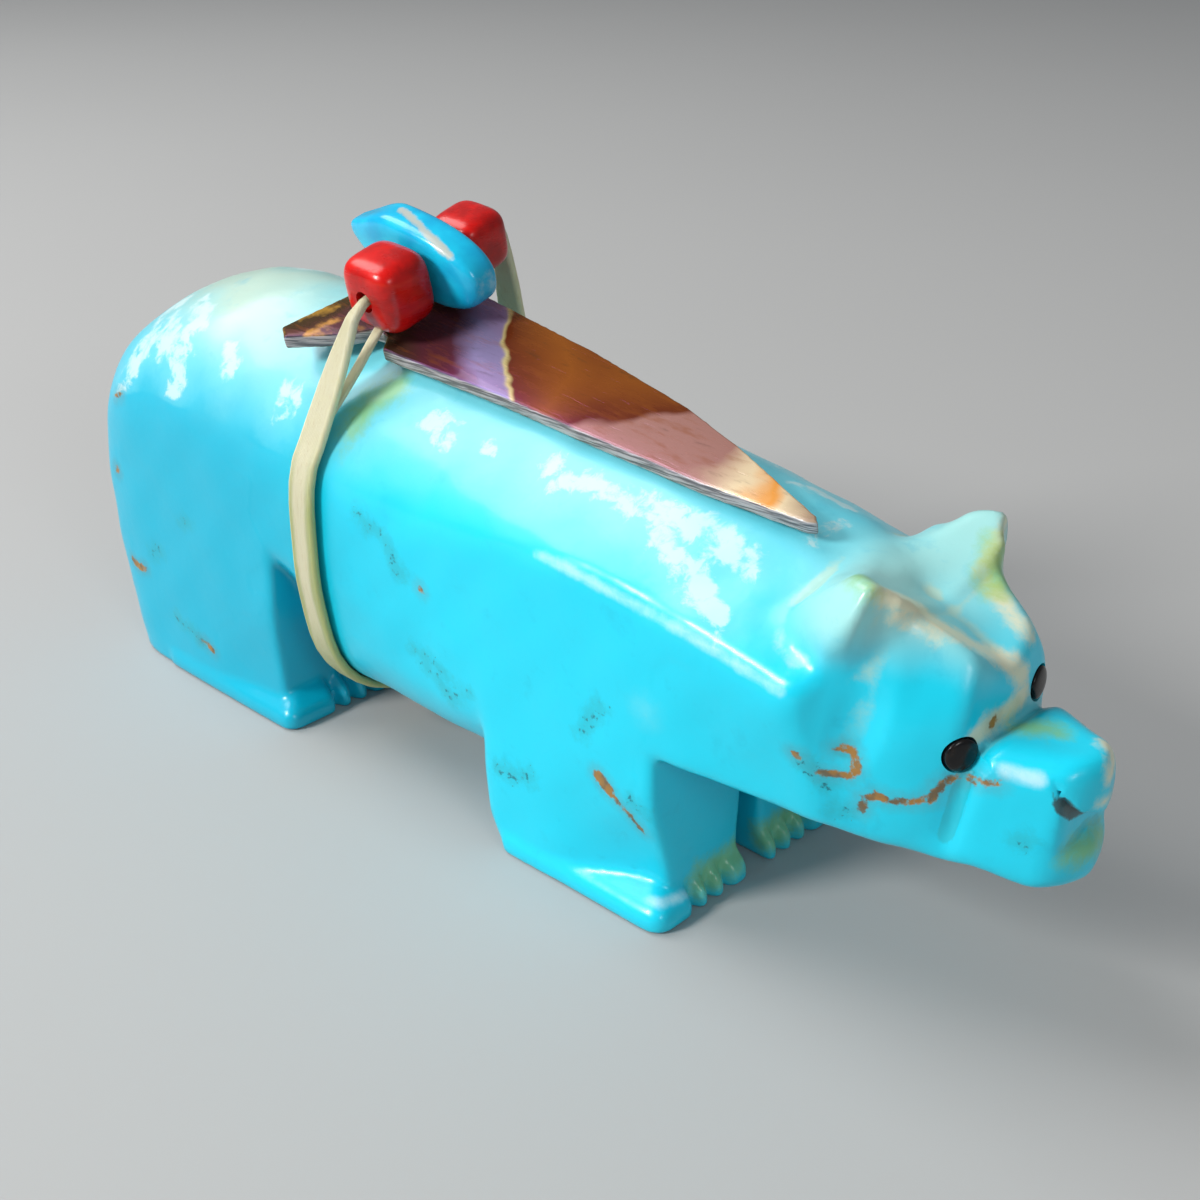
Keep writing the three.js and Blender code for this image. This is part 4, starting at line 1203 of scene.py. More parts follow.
@dataclass(frozen=True)
class StoneMarks:
    """Where the stone changes colour, and where highlights and shade are painted on it, in millimetres on the
    bear.
    """

    vein: tuple[Mark, ...] = marks(
        Seen.RIGHT,
        (0.07, (21.8, 12.8), (22.3, 12.8), (22.6, 12.1), (22.3, 11.7), (21.3, 11.7)),
        (0.09, (22.8, 10.2), (22.9, 10.8), (23.4, 11.1), (23.8, 11)),
        (0.05, (23.8, 11), (24.6, 11.1), (25.2, 11.3), (25.5, 12), (25.8, 12.3)),
        (0.03, (26.2, 12.3), (27.5, 12.6)),
        (0.24, (10.3, 7.1), (10.8, 6.6)),
        (0.03, (10.8, 6.6), (11.3, 6.2), (11.9, 5.7), (12.5, 4.9)),
        (0.08, (20.4, 12.4), (20.5, 12.3)),
        (0.12, (-26.6, 5.7), (-25.9, 5.5), (-25.3, 5.7)),
        (0.13, (-27.1, 11.3), (-27, 11.2)),
        (0.05, (-20.2, 2.8), (-19.7, 2.8), (-19.1, 2.5)),
        (0.07, (-1.1, 12.6), (-1, 12.5)),
        (0.05, (-26.4, 15.8), (-25.6, 16.2)),
    ) + marks(
        Seen.LEFT,
        (0.06, (-22, 6), (-19.5, 7.2), (-18.8, 9.4), (-16.5, 10.2)),
        (0.07, (6.5, 9.8), (8.2, 9), (9, 7.4), (10.8, 6.8)),
        (0.08, (20.8, 13.4), (22.6, 12.6), (23.4, 11), (25, 10.2)),
        (0.06, (-3, 13.2), (-1.6, 12.4)),
    ) + marks(
        Seen.BACK,
        (0.07, (-4.5, 9), (-3, 11.5), (-0.5, 12.4)),
    ) + marks(
        None,
        (0.1, (26.1, -1.2, 14.2), (26.1, -1.4, 14.1)),
    )
    speck: tuple[Mark, ...] = marks(
        Seen.RIGHT,
        (0.06, (20.8, 11.9), (21, 11.8)),
        (0.06, (21.4, 11.2), (21.5, 11.1)),
        (0.06, (28.6, 10.3), (28.7, 10.3)),
        (0.05, (22, 9.9), (22.2, 9.9)),
        (0.05, (10.4, 10.7), (9.8, 9.9), (9.3, 8.9)),
        (0.1, (3.8, 4.6), (5, 4.7), (5.9, 5.2)),
        (0.06, (-1.2, 8.4), (-0.4, 7.9), (0.5, 7.1), (1.6, 8)),
        (0.04, (-1.8, 9), (0.3, 8.4)),
        (0.07, (-5.3, 15.2), (-4.8, 14.8), (-3.5, 14.6), (-2.8, 13.6), (-2.5, 12.9)),
        (0.07, (-24.2, 7), (-23.4, 7.3)),
        (0.05, (-20.6, 10), (-20.1, 10.2)),
        (0.04, (-22.5, 3.5), (-21, 3.1), (-20.2, 2.7)),
        (0.04, (12.1, 6.6), (12.6, 6.1)),
    ) + marks(
        Seen.LEFT,
        (0.06, (-8, 12.5), (-6.6, 11.8), (-5.5, 10)),
        (0.06, (13, 11), (14.4, 10.1)),
        (0.06, (-24, 12), (-22.6, 13.2), (-21.6, 12.4)),
        (0.07, (2.5, 8.2), (3.2, 6.8), (5, 6)),
    )
    cloud: tuple[Mark, ...] = marks(
        Seen.TOP,
        (1.1, (-25.6, -3.6), (-24.6, -5), (-25.3, -6.6)),
        (0.8, (-24.5, -5.4), (-21.8, -5.9), (-20.4, -7)),
        (0.7, (-22.8, -3.6), (-20.8, -5)),
        (0.5, (-17.6, -5.6), (-16.6, -5.9)),
        (0.5, (-12.4, -6.2), (-11.6, -6)),
        (0.55, (-3.2, -4.4), (-1.6, -4.7)),
        (0.2, (0.6, -4.4), (1.2, -4.4)),
        (0.5, (4.2, -3.6), (5.2, -4.4), (7.6, -3.8), (9.8, -3.9)),
        (0.75, (9.8, -3.9), (12.2, -3.6), (14.6, -3.8), (15.6, -3.8)),
        (0.55, (11.4, -4.4), (14.2, -5.4), (16.2, -6)),
        (0.45, (14.6, 1), (16.4, 1.8)),
        (0.35, (12.2, 2.4), (13.4, 3.4)),
        (0.3, (17.4, -1.8), (17.6, -0.4)),
        (0.7, (-20, 1), (-16.4, 2.4), (-13, 2)),
        (0.7, (3, 4.2), (6.4, 5), (8, 4.4)),
    ) + marks(
        Seen.RIGHT,
        (-0.1, (12.9, 11.6), (13, 11.6)),
    ) + marks(
        Seen.LEFT,
        (0.35, (-14.5, 15.2), (-11, 14.6), (-8.5, 15.4)),
        (0.3, (-27, 8.6), (-25.6, 10), (-25.2, 12)),
        (0.35, (15.2, 12.6), (17.4, 11.8)),
    ) + marks(
        Seen.BACK,
        (0.5, (-3, 16.4), (0.5, 15.4), (2, 13.6)),
    )
    green: tuple[Mark, ...] = marks(
        Seen.TOP,
        (0.5, (-7.2, -5.8), (-6.9, -4.8), (-6.2, -3.8)),
    ) + marks(
        None,
        (0.7, (13.6, -3.4, 1.2), (13.6, -1, 1.3)),
        (0.7, (13.6, 1.4, 1.2), (13.6, 3.8, 1.2)),
        (0.6, (22.8, 3.6, 18.8), (23.6, 2.2, 18.1)),
        (0.3, (21.2, -4, 19.9), (22.4, -4.8, 19.8)),
        (0.45, (27, -0.2, 13.9), (28, 0.4, 13.9)),
        (0.5, (30.4, -1.2, 9.8), (30.5, 0.8, 9.8)),
    )
    cream: tuple[Mark, ...] = marks(
        None,
        (0.55, (22.7, -4.4, 19.7), (23.2, -2.2, 18.5), (24.2, -1.8, 17.5), (25, -0.9, 16.7), (26, 0.6, 15.4)),
        (0.35, (22.7, 4.4, 19.7), (23.2, 2.2, 18.5), (24.2, 1.8, 17.5), (25.6, 1.7, 16.5)),
        (0.4, (23.1, -3.8, 18.5), (24.1, -2.8, 17.9)),
        (0.45, (26.2, 0.8, 14.5), (26.3, -0.4, 14.3), (26.1, -1.4, 14.2), (26, -2.4, 13.9)),
        (0.45, (29.9, 1, 13.6), (30.6, 0.2, 13.1)),
        (0.2, (30.6, -0.4, 12), (30.6, 0.8, 11.8), (30.4, 1.6, 12.2)),
    )
    # Painted shade in the mouth slit and along the mouth line.
    mouth: tuple[Mark, ...] = marks(
        None,
        (0.08, (29.35, -2.3, 13), (29.75, -1.9, 12.3)),
        (0.28, (29.75, -1.9, 12.2), (30, -1.2, 11.6), (30.1, 0, 11.4), (30, 1.2, 11.6), (29.8, 1.9, 12)),
    )
    # Painted highlights along the shoulder edge, the front foot's rim, the near ear's ridge and the muzzle.
    wear_and_highlight: tuple[Mark, ...] = marks(
        None,
        (0.04, (6.5, -7.1, 16.9), (8.5, -7.05, 16.8), (14.5, -7, 16.2), (19.8, -6.85, 15.3)),
        (0.02, (12.2, -7, 1.7), (13.6, -6.2, 1.4), (13.8, -4.6, 1.3)),
        (0.05, (22.5, -5, 19.8), (23, -5.4, 17.6), (22.9, -6, 15.4)),
        (0.1, (27.6, -2.7, 13.2), (28.8, -2.2, 13.1)),
    )

    def store_on(self, piece: Piece, normals: Array) -> None:
        """Keep the distance from each kind of mark at a piece's corners.

        Args:
            piece: The piece.
            normals: Its unit normals, one row for each corner.
        """
        points = corners_of(piece)
        for kind in fields(self):
            nearest = np.full(len(points), FAR)
            for mark in getattr(self, kind.name):
                nearest = np.minimum(nearest, mark.distance(points, normals))
            store(piece, kind.name, nearest)


# Finishes


@dataclass(frozen=True)
class TurquoiseFinish:
    """Polished turquoise with white clouds and iron veins, a top paled by bleaching and a painted sheen, dust
    and painted shade in its creases, painted highlights on its ridges and painted shade in its mouth slit.
    """

    deep: Colour = (0.0, 0.42, 0.60)
    bright: Colour = (0.006, 0.62, 0.82)
    # Colour of the pale top, from bleaching and painted sheen, and of the halo round clouds.
    pale: Colour = (0.22, 0.66, 0.74)
    milk: Colour = (0.50, 0.62, 0.50)
    veil: Colour = (0.42, 0.66, 0.58)
    cloud: Colour = (0.60, 0.76, 0.76)
    # Colour of the painted highlights.
    painted_highlight: Colour = (0.72, 0.90, 0.94)
    dust_and_shade: Colour = (0.62, 0.62, 0.36)
    # Colour of the dust and painted shade in the upper creases.
    cream: Colour = (0.80, 0.74, 0.50)
    green: Colour = (0.24, 0.46, 0.06)
    rust: Colour = (0.36, 0.16, 0.012)
    umber: Colour = (0.16, 0.09, 0.03)
    # Colour of the painted shade in the mouth slit.
    slit_shade: Colour = (0.035, 0.024, 0.012)
    stain: Colour = (0.004, 0.12, 0.15)
    # Colour of the painted shade in the lower creases, and of the haze round specks.
    haze_and_shade: Colour = (0.02, 0.34, 0.38)

    def material(self) -> Material:
        """The finished material."""
        recipe = Recipe("turquoise")
        place = recipe.place()
        along, height = recipe.axis(place, 0), recipe.axis(place, 2)
        broad = recipe.noise(place, 9, 3, 0.55)
        front = (along + (broad - 0.5) * 12).rise(-16, 0)
        colour = recipe.mix(front, self.deep, self.bright)
        # Painted sheen and the stone's bleaching: the top turns paler.
        bleach_and_sheen = (height + (broad - 0.5) * 5).rise(15.5, 21.5) * 0.8
        colour = recipe.mix(bleach_and_sheen, colour, self.pale)
        milky = (height + (broad - 0.5) * 4).rise(19, 22) * (along + (broad - 0.5) * 8).rise(-9, -19)
        colour = recipe.mix(milky * 0.85, colour, self.milk)
        veiled = (height + (broad - 0.5) * 3).rise(15.8, 18.4) * along.rise(17, 21)
        colour = recipe.mix(veiled * 0.7, colour, self.veil)
        mottle = recipe.noise(recipe.bent(place, 3, 0.8), 1.6, 5, 0.62)
        colour = recipe.mix(mottle.rise(0.56, 0.75) * 0.25, colour, self.deep)
        ragged = recipe.noise(recipe.bent(place, 1.2, 0.5), 0.9, 6, 0.7)
        lace = recipe.noise(recipe.bent(place, 1.1, 0.6), 1.3, 5, 0.66)
        cloud = recipe.attribute("cloud")
        colour = recipe.mix((cloud + (ragged - 0.5) * 1.5).rise(1.4, -0.2) * 0.3, colour, self.pale)
        clouded = ((lace - 0.5) * 4.5 - cloud.higher(-0.35) * 1.6 - 0.3).rise(-0.35, 0.45)
        colour = recipe.mix(clouded * 0.72, colour, self.cloud)
        # Painted shade in the lower creases of the head, and dust with painted shade in the upper ones.
        crease = recipe.attribute("crease")
        creased = (crease + (ragged - 0.5) * 0.9).rise(0.35, 0.9)
        dust_and_shade_mask = creased * height.rise(12.5, 15.5) * 0.4
        colour = recipe.mix(creased * height.rise(15.5, 12) * 0.45, colour, self.haze_and_shade)
        colour = recipe.mix(dust_and_shade_mask, colour, self.dust_and_shade)
        creamy = (recipe.attribute("cream") + (ragged - 0.5) * 1.2).rise(0.35, -0.35) * 0.85
        colour = recipe.mix(creamy, colour, self.cream)
        # Painted highlights along the shoulder edge, the front foot, the near ear's ridge and the muzzle.
        highlight_mask = (recipe.attribute("wear_and_highlight") + (ragged - 0.5) * 0.4).rise(0.4, -0.05) * 0.6
        colour = recipe.mix(highlight_mask, colour, self.painted_highlight)
        greened = (recipe.attribute("green") + (ragged - 0.5) * 1.6).rise(0.7, -0.5) * 0.7
        colour = recipe.mix(greened, colour, self.green)
        fine = recipe.noise(place, 0.3, 5, 0.65)
        vein = recipe.attribute("vein") + (fine - 0.5) * 0.55
        veined = vein.rise(0.16, 0.02)
        rust = recipe.mix(recipe.noise(place, 0.7, 2).rise(0.4, 0.62), self.rust, self.umber)
        colour = recipe.mix(vein.rise(0.75, 0.05) * 0.22, colour, self.umber)
        colour = recipe.mix(veined * 0.95, colour, rust)
        # Painted shade in the mouth slit and along the mouth line.
        slit_shaded = (recipe.attribute("mouth") + (fine - 0.5) * 0.2).rise(0.12, 0) * 0.85
        colour = recipe.mix(slit_shaded, colour, self.slit_shade)
        speck = recipe.attribute("speck")
        hazy = (speck + (ragged - 0.5) * 2.0).rise(0.8, -0.1)
        colour = recipe.mix(hazy * 0.4, colour, self.haze_and_shade)
        spots = (speck * 0.55 + (0.62 - fine) * 2.2).rise(0.22, 0.0)
        colour = recipe.mix(spots * 0.75, colour, self.stain)
        roughness = 0.26 + mottle * 0.07 + clouded * 0.12 + veined * 0.2 + dust_and_shade_mask * 0.25
        grain = recipe.noise(place, 0.25, 3)
        relief = grain * 0.25 - spots * 0.6 - veined * 0.5 + recipe.noise(place, 2.2, 2) * 2.0
        return recipe.finish(
            colour, roughness, recipe.bump(relief, 0.02), IOR=1.45, Subsurface_Weight=0.05,
            Subsurface_Radius=(0.4, 1.0, 1.0), Subsurface_Scale=0.0008, Coat_Weight=0.1, Coat_Roughness=0.06,
        )


@dataclass(frozen=True)
class JetFinish:
    """Polished jet."""

    black: Colour = (0.004, 0.004, 0.005)
    brown: Colour = (0.014, 0.010, 0.008)

    def material(self) -> Material:
        """The finished material."""
        recipe = Recipe("jet")
        place = recipe.place()
        cloud = recipe.noise(place, 0.5, 3)
        colour = recipe.mix(cloud.rise(0.4, 0.7), self.black, self.brown)
        normal = recipe.bump(recipe.noise(place, 0.2, 2), 0.004)
        return recipe.finish(colour, 0.16 + cloud * 0.1, normal, IOR=1.38)


@dataclass(frozen=True)
class ShellFinish:
    """Polished shell in bands of colour along the arrowhead, with a silvery layered edge."""

    edge_shadow: Colour = (0.045, 0.030, 0.012)
    gold: Colour = (0.50, 0.27, 0.04)
    plum: Colour = (0.10, 0.025, 0.035)
    violet: Colour = (0.25, 0.20, 0.36)
    straw: Colour = (0.60, 0.50, 0.20)
    russet: Colour = (0.13, 0.026, 0.006)
    chestnut: Colour = (0.26, 0.075, 0.008)
    rose: Colour = (0.38, 0.19, 0.16)
    cream: Colour = (0.82, 0.66, 0.42)
    orange: Colour = (0.85, 0.34, 0.05)
    tip: Colour = (0.42, 0.30, 0.20)
    silver: Colour = (0.50, 0.46, 0.46)
    slate: Colour = (0.13, 0.13, 0.13)
    behind: float = 6

    def material(self, length: float, rim_height: float) -> Material:
        """The finished material.

        Args:
            length: Length of the blade.
            rim_height: Height of the polished face, under which the edge shows its layers.

        Returns:
            The material.
        """
        recipe = Recipe("shell")
        place = recipe.place()
        along, across = recipe.attribute("along"), recipe.attribute("across")
        wave = (recipe.noise(place, 4, 3, 0.5) - 0.5) * 4
        near_tip = along.rise(length * 0.7, length * 0.8)
        slant = near_tip * 1.4 - along.rise(length * 0.35, length * 0.5) * 2.2 + 1.3
        band = along + across * slant + wave
        stops = [
            (0.0, self.edge_shadow), (0.10, self.edge_shadow), (0.17, self.plum), (0.25, self.plum),
            (0.31, self.violet), (0.37, self.violet), (0.38, self.straw), (0.39, self.russet),
            (0.52, self.chestnut), (0.64, self.russet), (0.66, self.rose), (0.80, self.rose),
            (0.87, self.cream), (0.90, self.orange), (0.92, self.cream), (0.97, self.tip),
        ]
        colour = recipe.ramp((band + self.behind) * (1 / (length + self.behind)), stops)
        grain = recipe.noise(recipe.stretched(place, (0.5, 2.2, 2.2), (0, 0, 28)), 1.2, 5, 0.65)
        colour = recipe.mix(grain.rise(0.5, 0.72) * 0.45, colour, self.chestnut)
        colour = recipe.mix(grain.rise(0.42, 0.25) * 0.5, colour, self.edge_shadow)
        gilt = recipe.noise(place, 1.5, 3).rise(0.48, 0.6) * (along * -1).rise(0.5, 3.5)
        colour = recipe.mix(gilt * 0.8, colour, self.gold)
        layers = recipe.noise(recipe.stretched(place, (0.4, 0.4, 9)), 0.8, 4, 0.6)
        edge = recipe.mix(layers.rise(0.4, 0.6), self.slate, self.silver)
        rim = recipe.attribute("level").rise(rim_height - 0.02, rim_height - 0.09)
        colour = recipe.mix(rim, colour, edge)
        scratch = recipe.noise(recipe.stretched(place, (0.12, 5, 5), (0, 0, -38)), 1, 2).rise(0.66, 0.72)
        relief = grain * 0.4 + layers * rim * 1.5 - scratch * 0.3
        return recipe.finish(
            colour, 0.22 + rim * 0.15 + grain * 0.1, recipe.bump(relief, 0.02), IOR=1.5, Metallic=0.15,
            Coat_Weight=0.2, Coat_Roughness=0.05, Thin_Film_Thickness=420.0, Thin_Film_IOR=1.2,
        )


@dataclass(frozen=True)
class SinewFinish:
    """Waxed sinew, cream in the middle of the strand, with painted shadow at its edges and greener towards
    its bottom.
    """

    cream: Colour = (0.72, 0.67, 0.42)
    straw: Colour = (0.56, 0.44, 0.20)
    # Colour of the painted shadow at the strand's edges and of its greener bottom.
    green: Colour = (0.30, 0.36, 0.10)

    def material(self) -> Material:
        """The finished material."""
        recipe = Recipe("sinew")
        place = recipe.place()
        edge = recipe.attribute("edge")
        wander = recipe.noise(place, 2.5, 3)
        height = recipe.axis(place, 2)
        # Painted shadow along the strand's edges, lower down, and the strand greener towards its bottom.
        edge_shadow = (edge + (wander - 0.5) * 0.6).rise(0.4, 0.95) * height.rise(19, 14) * 0.75
        colour = recipe.mix(edge_shadow.higher(height.rise(10, 4) * 0.7), self.cream, self.green)
        fibre = recipe.noise(recipe.stretched(place, (3, 3, 0.35)), 0.4, 4, 0.6)
        colour = recipe.mix(fibre.rise(0.5, 0.75) * 0.35, colour, self.straw)
        return recipe.finish(
            colour, 0.42 + fibre * 0.2, recipe.bump(fibre, 0.03), IOR=1.45, Subsurface_Weight=0.3,
            Subsurface_Radius=(1.0, 0.8, 0.4), Subsurface_Scale=0.0006,
        )


@dataclass(frozen=True)
class CoralFinish:
    """Polished red coral with faint growth bands."""

    deep: Colour = (0.38, 0.002, 0.001)
    red: Colour = (0.64, 0.004, 0.002)
    orange: Colour = (0.72, 0.04, 0.01)

    def material(self) -> Material:
        """The finished material."""
        recipe = Recipe("coral")
        place = recipe.place()
        cloud = recipe.noise(place, 1.6, 3, 0.55)
        bands = recipe.noise(recipe.stretched(place, (0.5, 0.5, 2.4), (20, 15, 0)), 0.9, 4)
        colour = recipe.mix(cloud.rise(0.35, 0.65), self.deep, self.red)
        colour = recipe.mix(bands.rise(0.55, 0.78) * 0.35, colour, self.orange)
        relief = recipe.noise(place, 0.3, 3) * 0.4 + recipe.noise(place, 1.3, 2)
        return recipe.finish(
            colour, 0.24 + bands * 0.08, recipe.bump(relief, 0.02), IOR=1.42, Subsurface_Weight=0.05,
            Subsurface_Radius=(1.0, 0.2, 0.1), Subsurface_Scale=0.0008, Coat_Weight=0.1, Coat_Roughness=0.05,
        )


@dataclass(frozen=True)
class BeadTurquoiseFinish:
    """Sky-blue turquoise with a tan streak of matrix and a worn pale rim."""

    deep: Colour = (0.002, 0.38, 0.66)
    sky: Colour = (0.008, 0.54, 0.80)
    tan: Colour = (0.50, 0.47, 0.38)
    rim: Colour = (0.72, 0.80, 0.74)

    def material(self) -> Material:
        """The finished material."""
        recipe = Recipe("bead_turquoise")
        place = recipe.place()
        broad = recipe.noise(place, 2.4, 3)
        colour = recipe.mix(broad.rise(0.35, 0.65), self.deep, self.sky)
        ragged = (recipe.noise(place, 0.5, 4, 0.6) - 0.5) * 0.35
        streak = (recipe.attribute("streak") + ragged).rise(0.22, 0.02)
        colour = recipe.mix(streak * 0.85, colour, self.tan)
        wear_and_highlight = (recipe.attribute("wear_and_highlight") + ragged * 0.4).rise(0.92, 1.02)
        colour = recipe.mix(wear_and_highlight * 0.7, colour, self.rim)
        relief = recipe.noise(place, 0.9, 3) - streak * 0.4
        return recipe.finish(
            colour, 0.22 + streak * 0.2, recipe.bump(relief, 0.02), IOR=1.45, Subsurface_Weight=0.05,
            Subsurface_Radius=(0.4, 1.0, 1.0), Subsurface_Scale=0.0008, Coat_Weight=0.15, Coat_Roughness=0.06,
        )


# The bear and its eyes


def grid_lines(start: float, zones: Sequence[tuple[float, float]]) -> Array:
    """Places of a grid's lines.

    Args:
        start: The first line.
        zones: Zones after it, each with its end and the step inside it.

    Returns:
        The places in order.
    """
    parts = [np.array([start])]
    for end, step in zones:
        origin = float(parts[-1][-1])
        count = max(round((end - origin) / step), 1)
        parts.append(np.linspace(origin, end, count + 1)[1:])
    return np.concatenate(parts)


@dataclass
class Eyes:
    """Short rods of jet with a low dome, set square to the face."""

    carving: Carving
    diameter: float = 1.4
    depth: float = 1.3
    dome: float = 0.15
    dome_fullness: float = 0.8
    clearance: float = 0.1
    drill_reach: float = 2
    sides: int = 64
    dome_steps: int = 10
    normal_step: float = 0.25
    core: Place = (23.2, 0, 13.35)
    right: Place = (25.75, -3.35, 13.25)
    left: Place = (25.7, 2.3, 14.4)

    def seat(self, side: Side) -> Array:
        """Seat of one eye, its axis along the surface's normal.

        Args:
            side: The eye's side of the face.

        Returns:
            4x4 matrix from the eye to the model.
        """
        core = self.carving.placed(*self.core)
        towards = self.carving.placed(*(self.right if side is Side.RIGHT else self.left))
        direction = (towards - core) / np.linalg.norm(towards - core)
        point = self.carving.surface_points(core[None], direction[None])
        normal = slope_of(self.carving.at, point, self.normal_step)[0]
        return seat_matrix(point[0], turn_onto(normal / np.linalg.norm(normal)))

    def socket(self, side: Side) -> Piece:
        """Drill for one eye's socket.

        Args:
            side: The eye's side of the face.

        Returns:
            The drill.
        """
        radius, reach = self.diameter / 2 + self.clearance, self.drill_reach
        outline = [(0, -self.depth), (radius, -self.depth), (radius, reach), (0, reach)]
        return lathe(f"{side.name.lower()}_drill", outline, self.sides, self.seat(side))

    def build(self, side: Side) -> Piece:
        """One eye, with a softly rounded rim.

        Args:
            side: Its side of the face.

        Returns:
            The new object.
        """
        radius, foot = self.diameter / 2, self.clearance - self.depth
        outline = [(0.0, foot), (radius, foot)]
        for step in range(self.dome_steps + 1):
            angle = step / self.dome_steps * math.pi / 2
            reach = radius * math.cos(angle) ** self.dome_fullness if step < self.dome_steps else 0.0
            outline.append((reach, self.dome * math.sin(angle)))
        return lathe(f"{side.name.lower()}_eye_jet", outline, self.sides, self.seat(side))

    def dress(self) -> None:
        """Build, dress and seat both eyes."""
        jet = JetFinish().material()
        for side in Side:
            eye = self.build(side)
            paint(eye, jet)
            fit_frame(eye, Slot.JET, f"{side.name.lower()}_eye")


@dataclass
class Bear:
    """The carved body, finely cut, with drilled eye sockets."""

    carving: Carving
    eyes: Eyes
    marks: StoneMarks = StoneMarks()
    grid_x: Pairs = ((-14.6, 0.36), (-11.8, 0.2), (11.6, 0.36), (14.4, 0.2), (19, 0.3), (31.4, 0.17))
    grid_y: Pairs = ((4.8, 0.2), (8.7, 0.26))
    grid_z: Pairs = ((2.7, 0.2), (23.6, 0.26))
    rim: float = 0.7
    crisp_angle: float = 50
    normal_step: float = 0.3
    crease_start: float = 18
    crease_reach: float = 0.45
    deepest_crease: float = 3

    def build(self) -> Piece:
        """The bear's mesh, cut from the field, with its sockets drilled."""
        low = self.carving.placed(self.carving.drawn_rump, 0, 0)[0] - 2 * self.rim
        half = grid_lines(0, self.grid_y)
        across = np.concatenate([-half[:0:-1], half])
        lines = (grid_lines(low, self.grid_x), across, grid_lines(-self.rim, self.grid_z))
        corners, faces = Skin(self.carving.polished, lines).mesh()
        piece = new_piece("bear_turquoise", corners, faces)
        cut_away(piece, [self.eyes.socket(side) for side in Side])
        shade(piece, self.crisp_angle)
        return piece

    def dress(self) -> None:
        """Build, mark, dress and seat the bear."""
        piece = self.build()
        points = corners_of(piece)
        slope = slope_of(self.carving.at, points, self.normal_step)
        self.marks.store_on(piece, slope / np.linalg.norm(slope, axis=1)[:, None])
        # How far each corner lies in a crease of the head, for the painted shade and dust there.
        offsets = self.crease_reach * np.concatenate([np.eye(3), -np.eye(3)])
        around = sum(self.carving.at(*(points + offset).T) for offset in offsets)
        bend = (around - len(offsets) * self.carving.at(*points.T)) / self.crease_reach ** 2
        store(piece, "crease", np.clip(-bend, 0, self.deepest_crease) * (points[:, 0] > self.crease_start))
        paint(piece, TurquoiseFinish().material())
        fit_frame(piece, Slot.TURQUOISE, "bear")


# The arrowhead on the back


@dataclass(frozen=True)
class Edge:
    """One edge of the arrowhead: shares of the blade's and the base's length and width, and the notch."""

    blade: Pairs
    notch: float
    base: Pairs


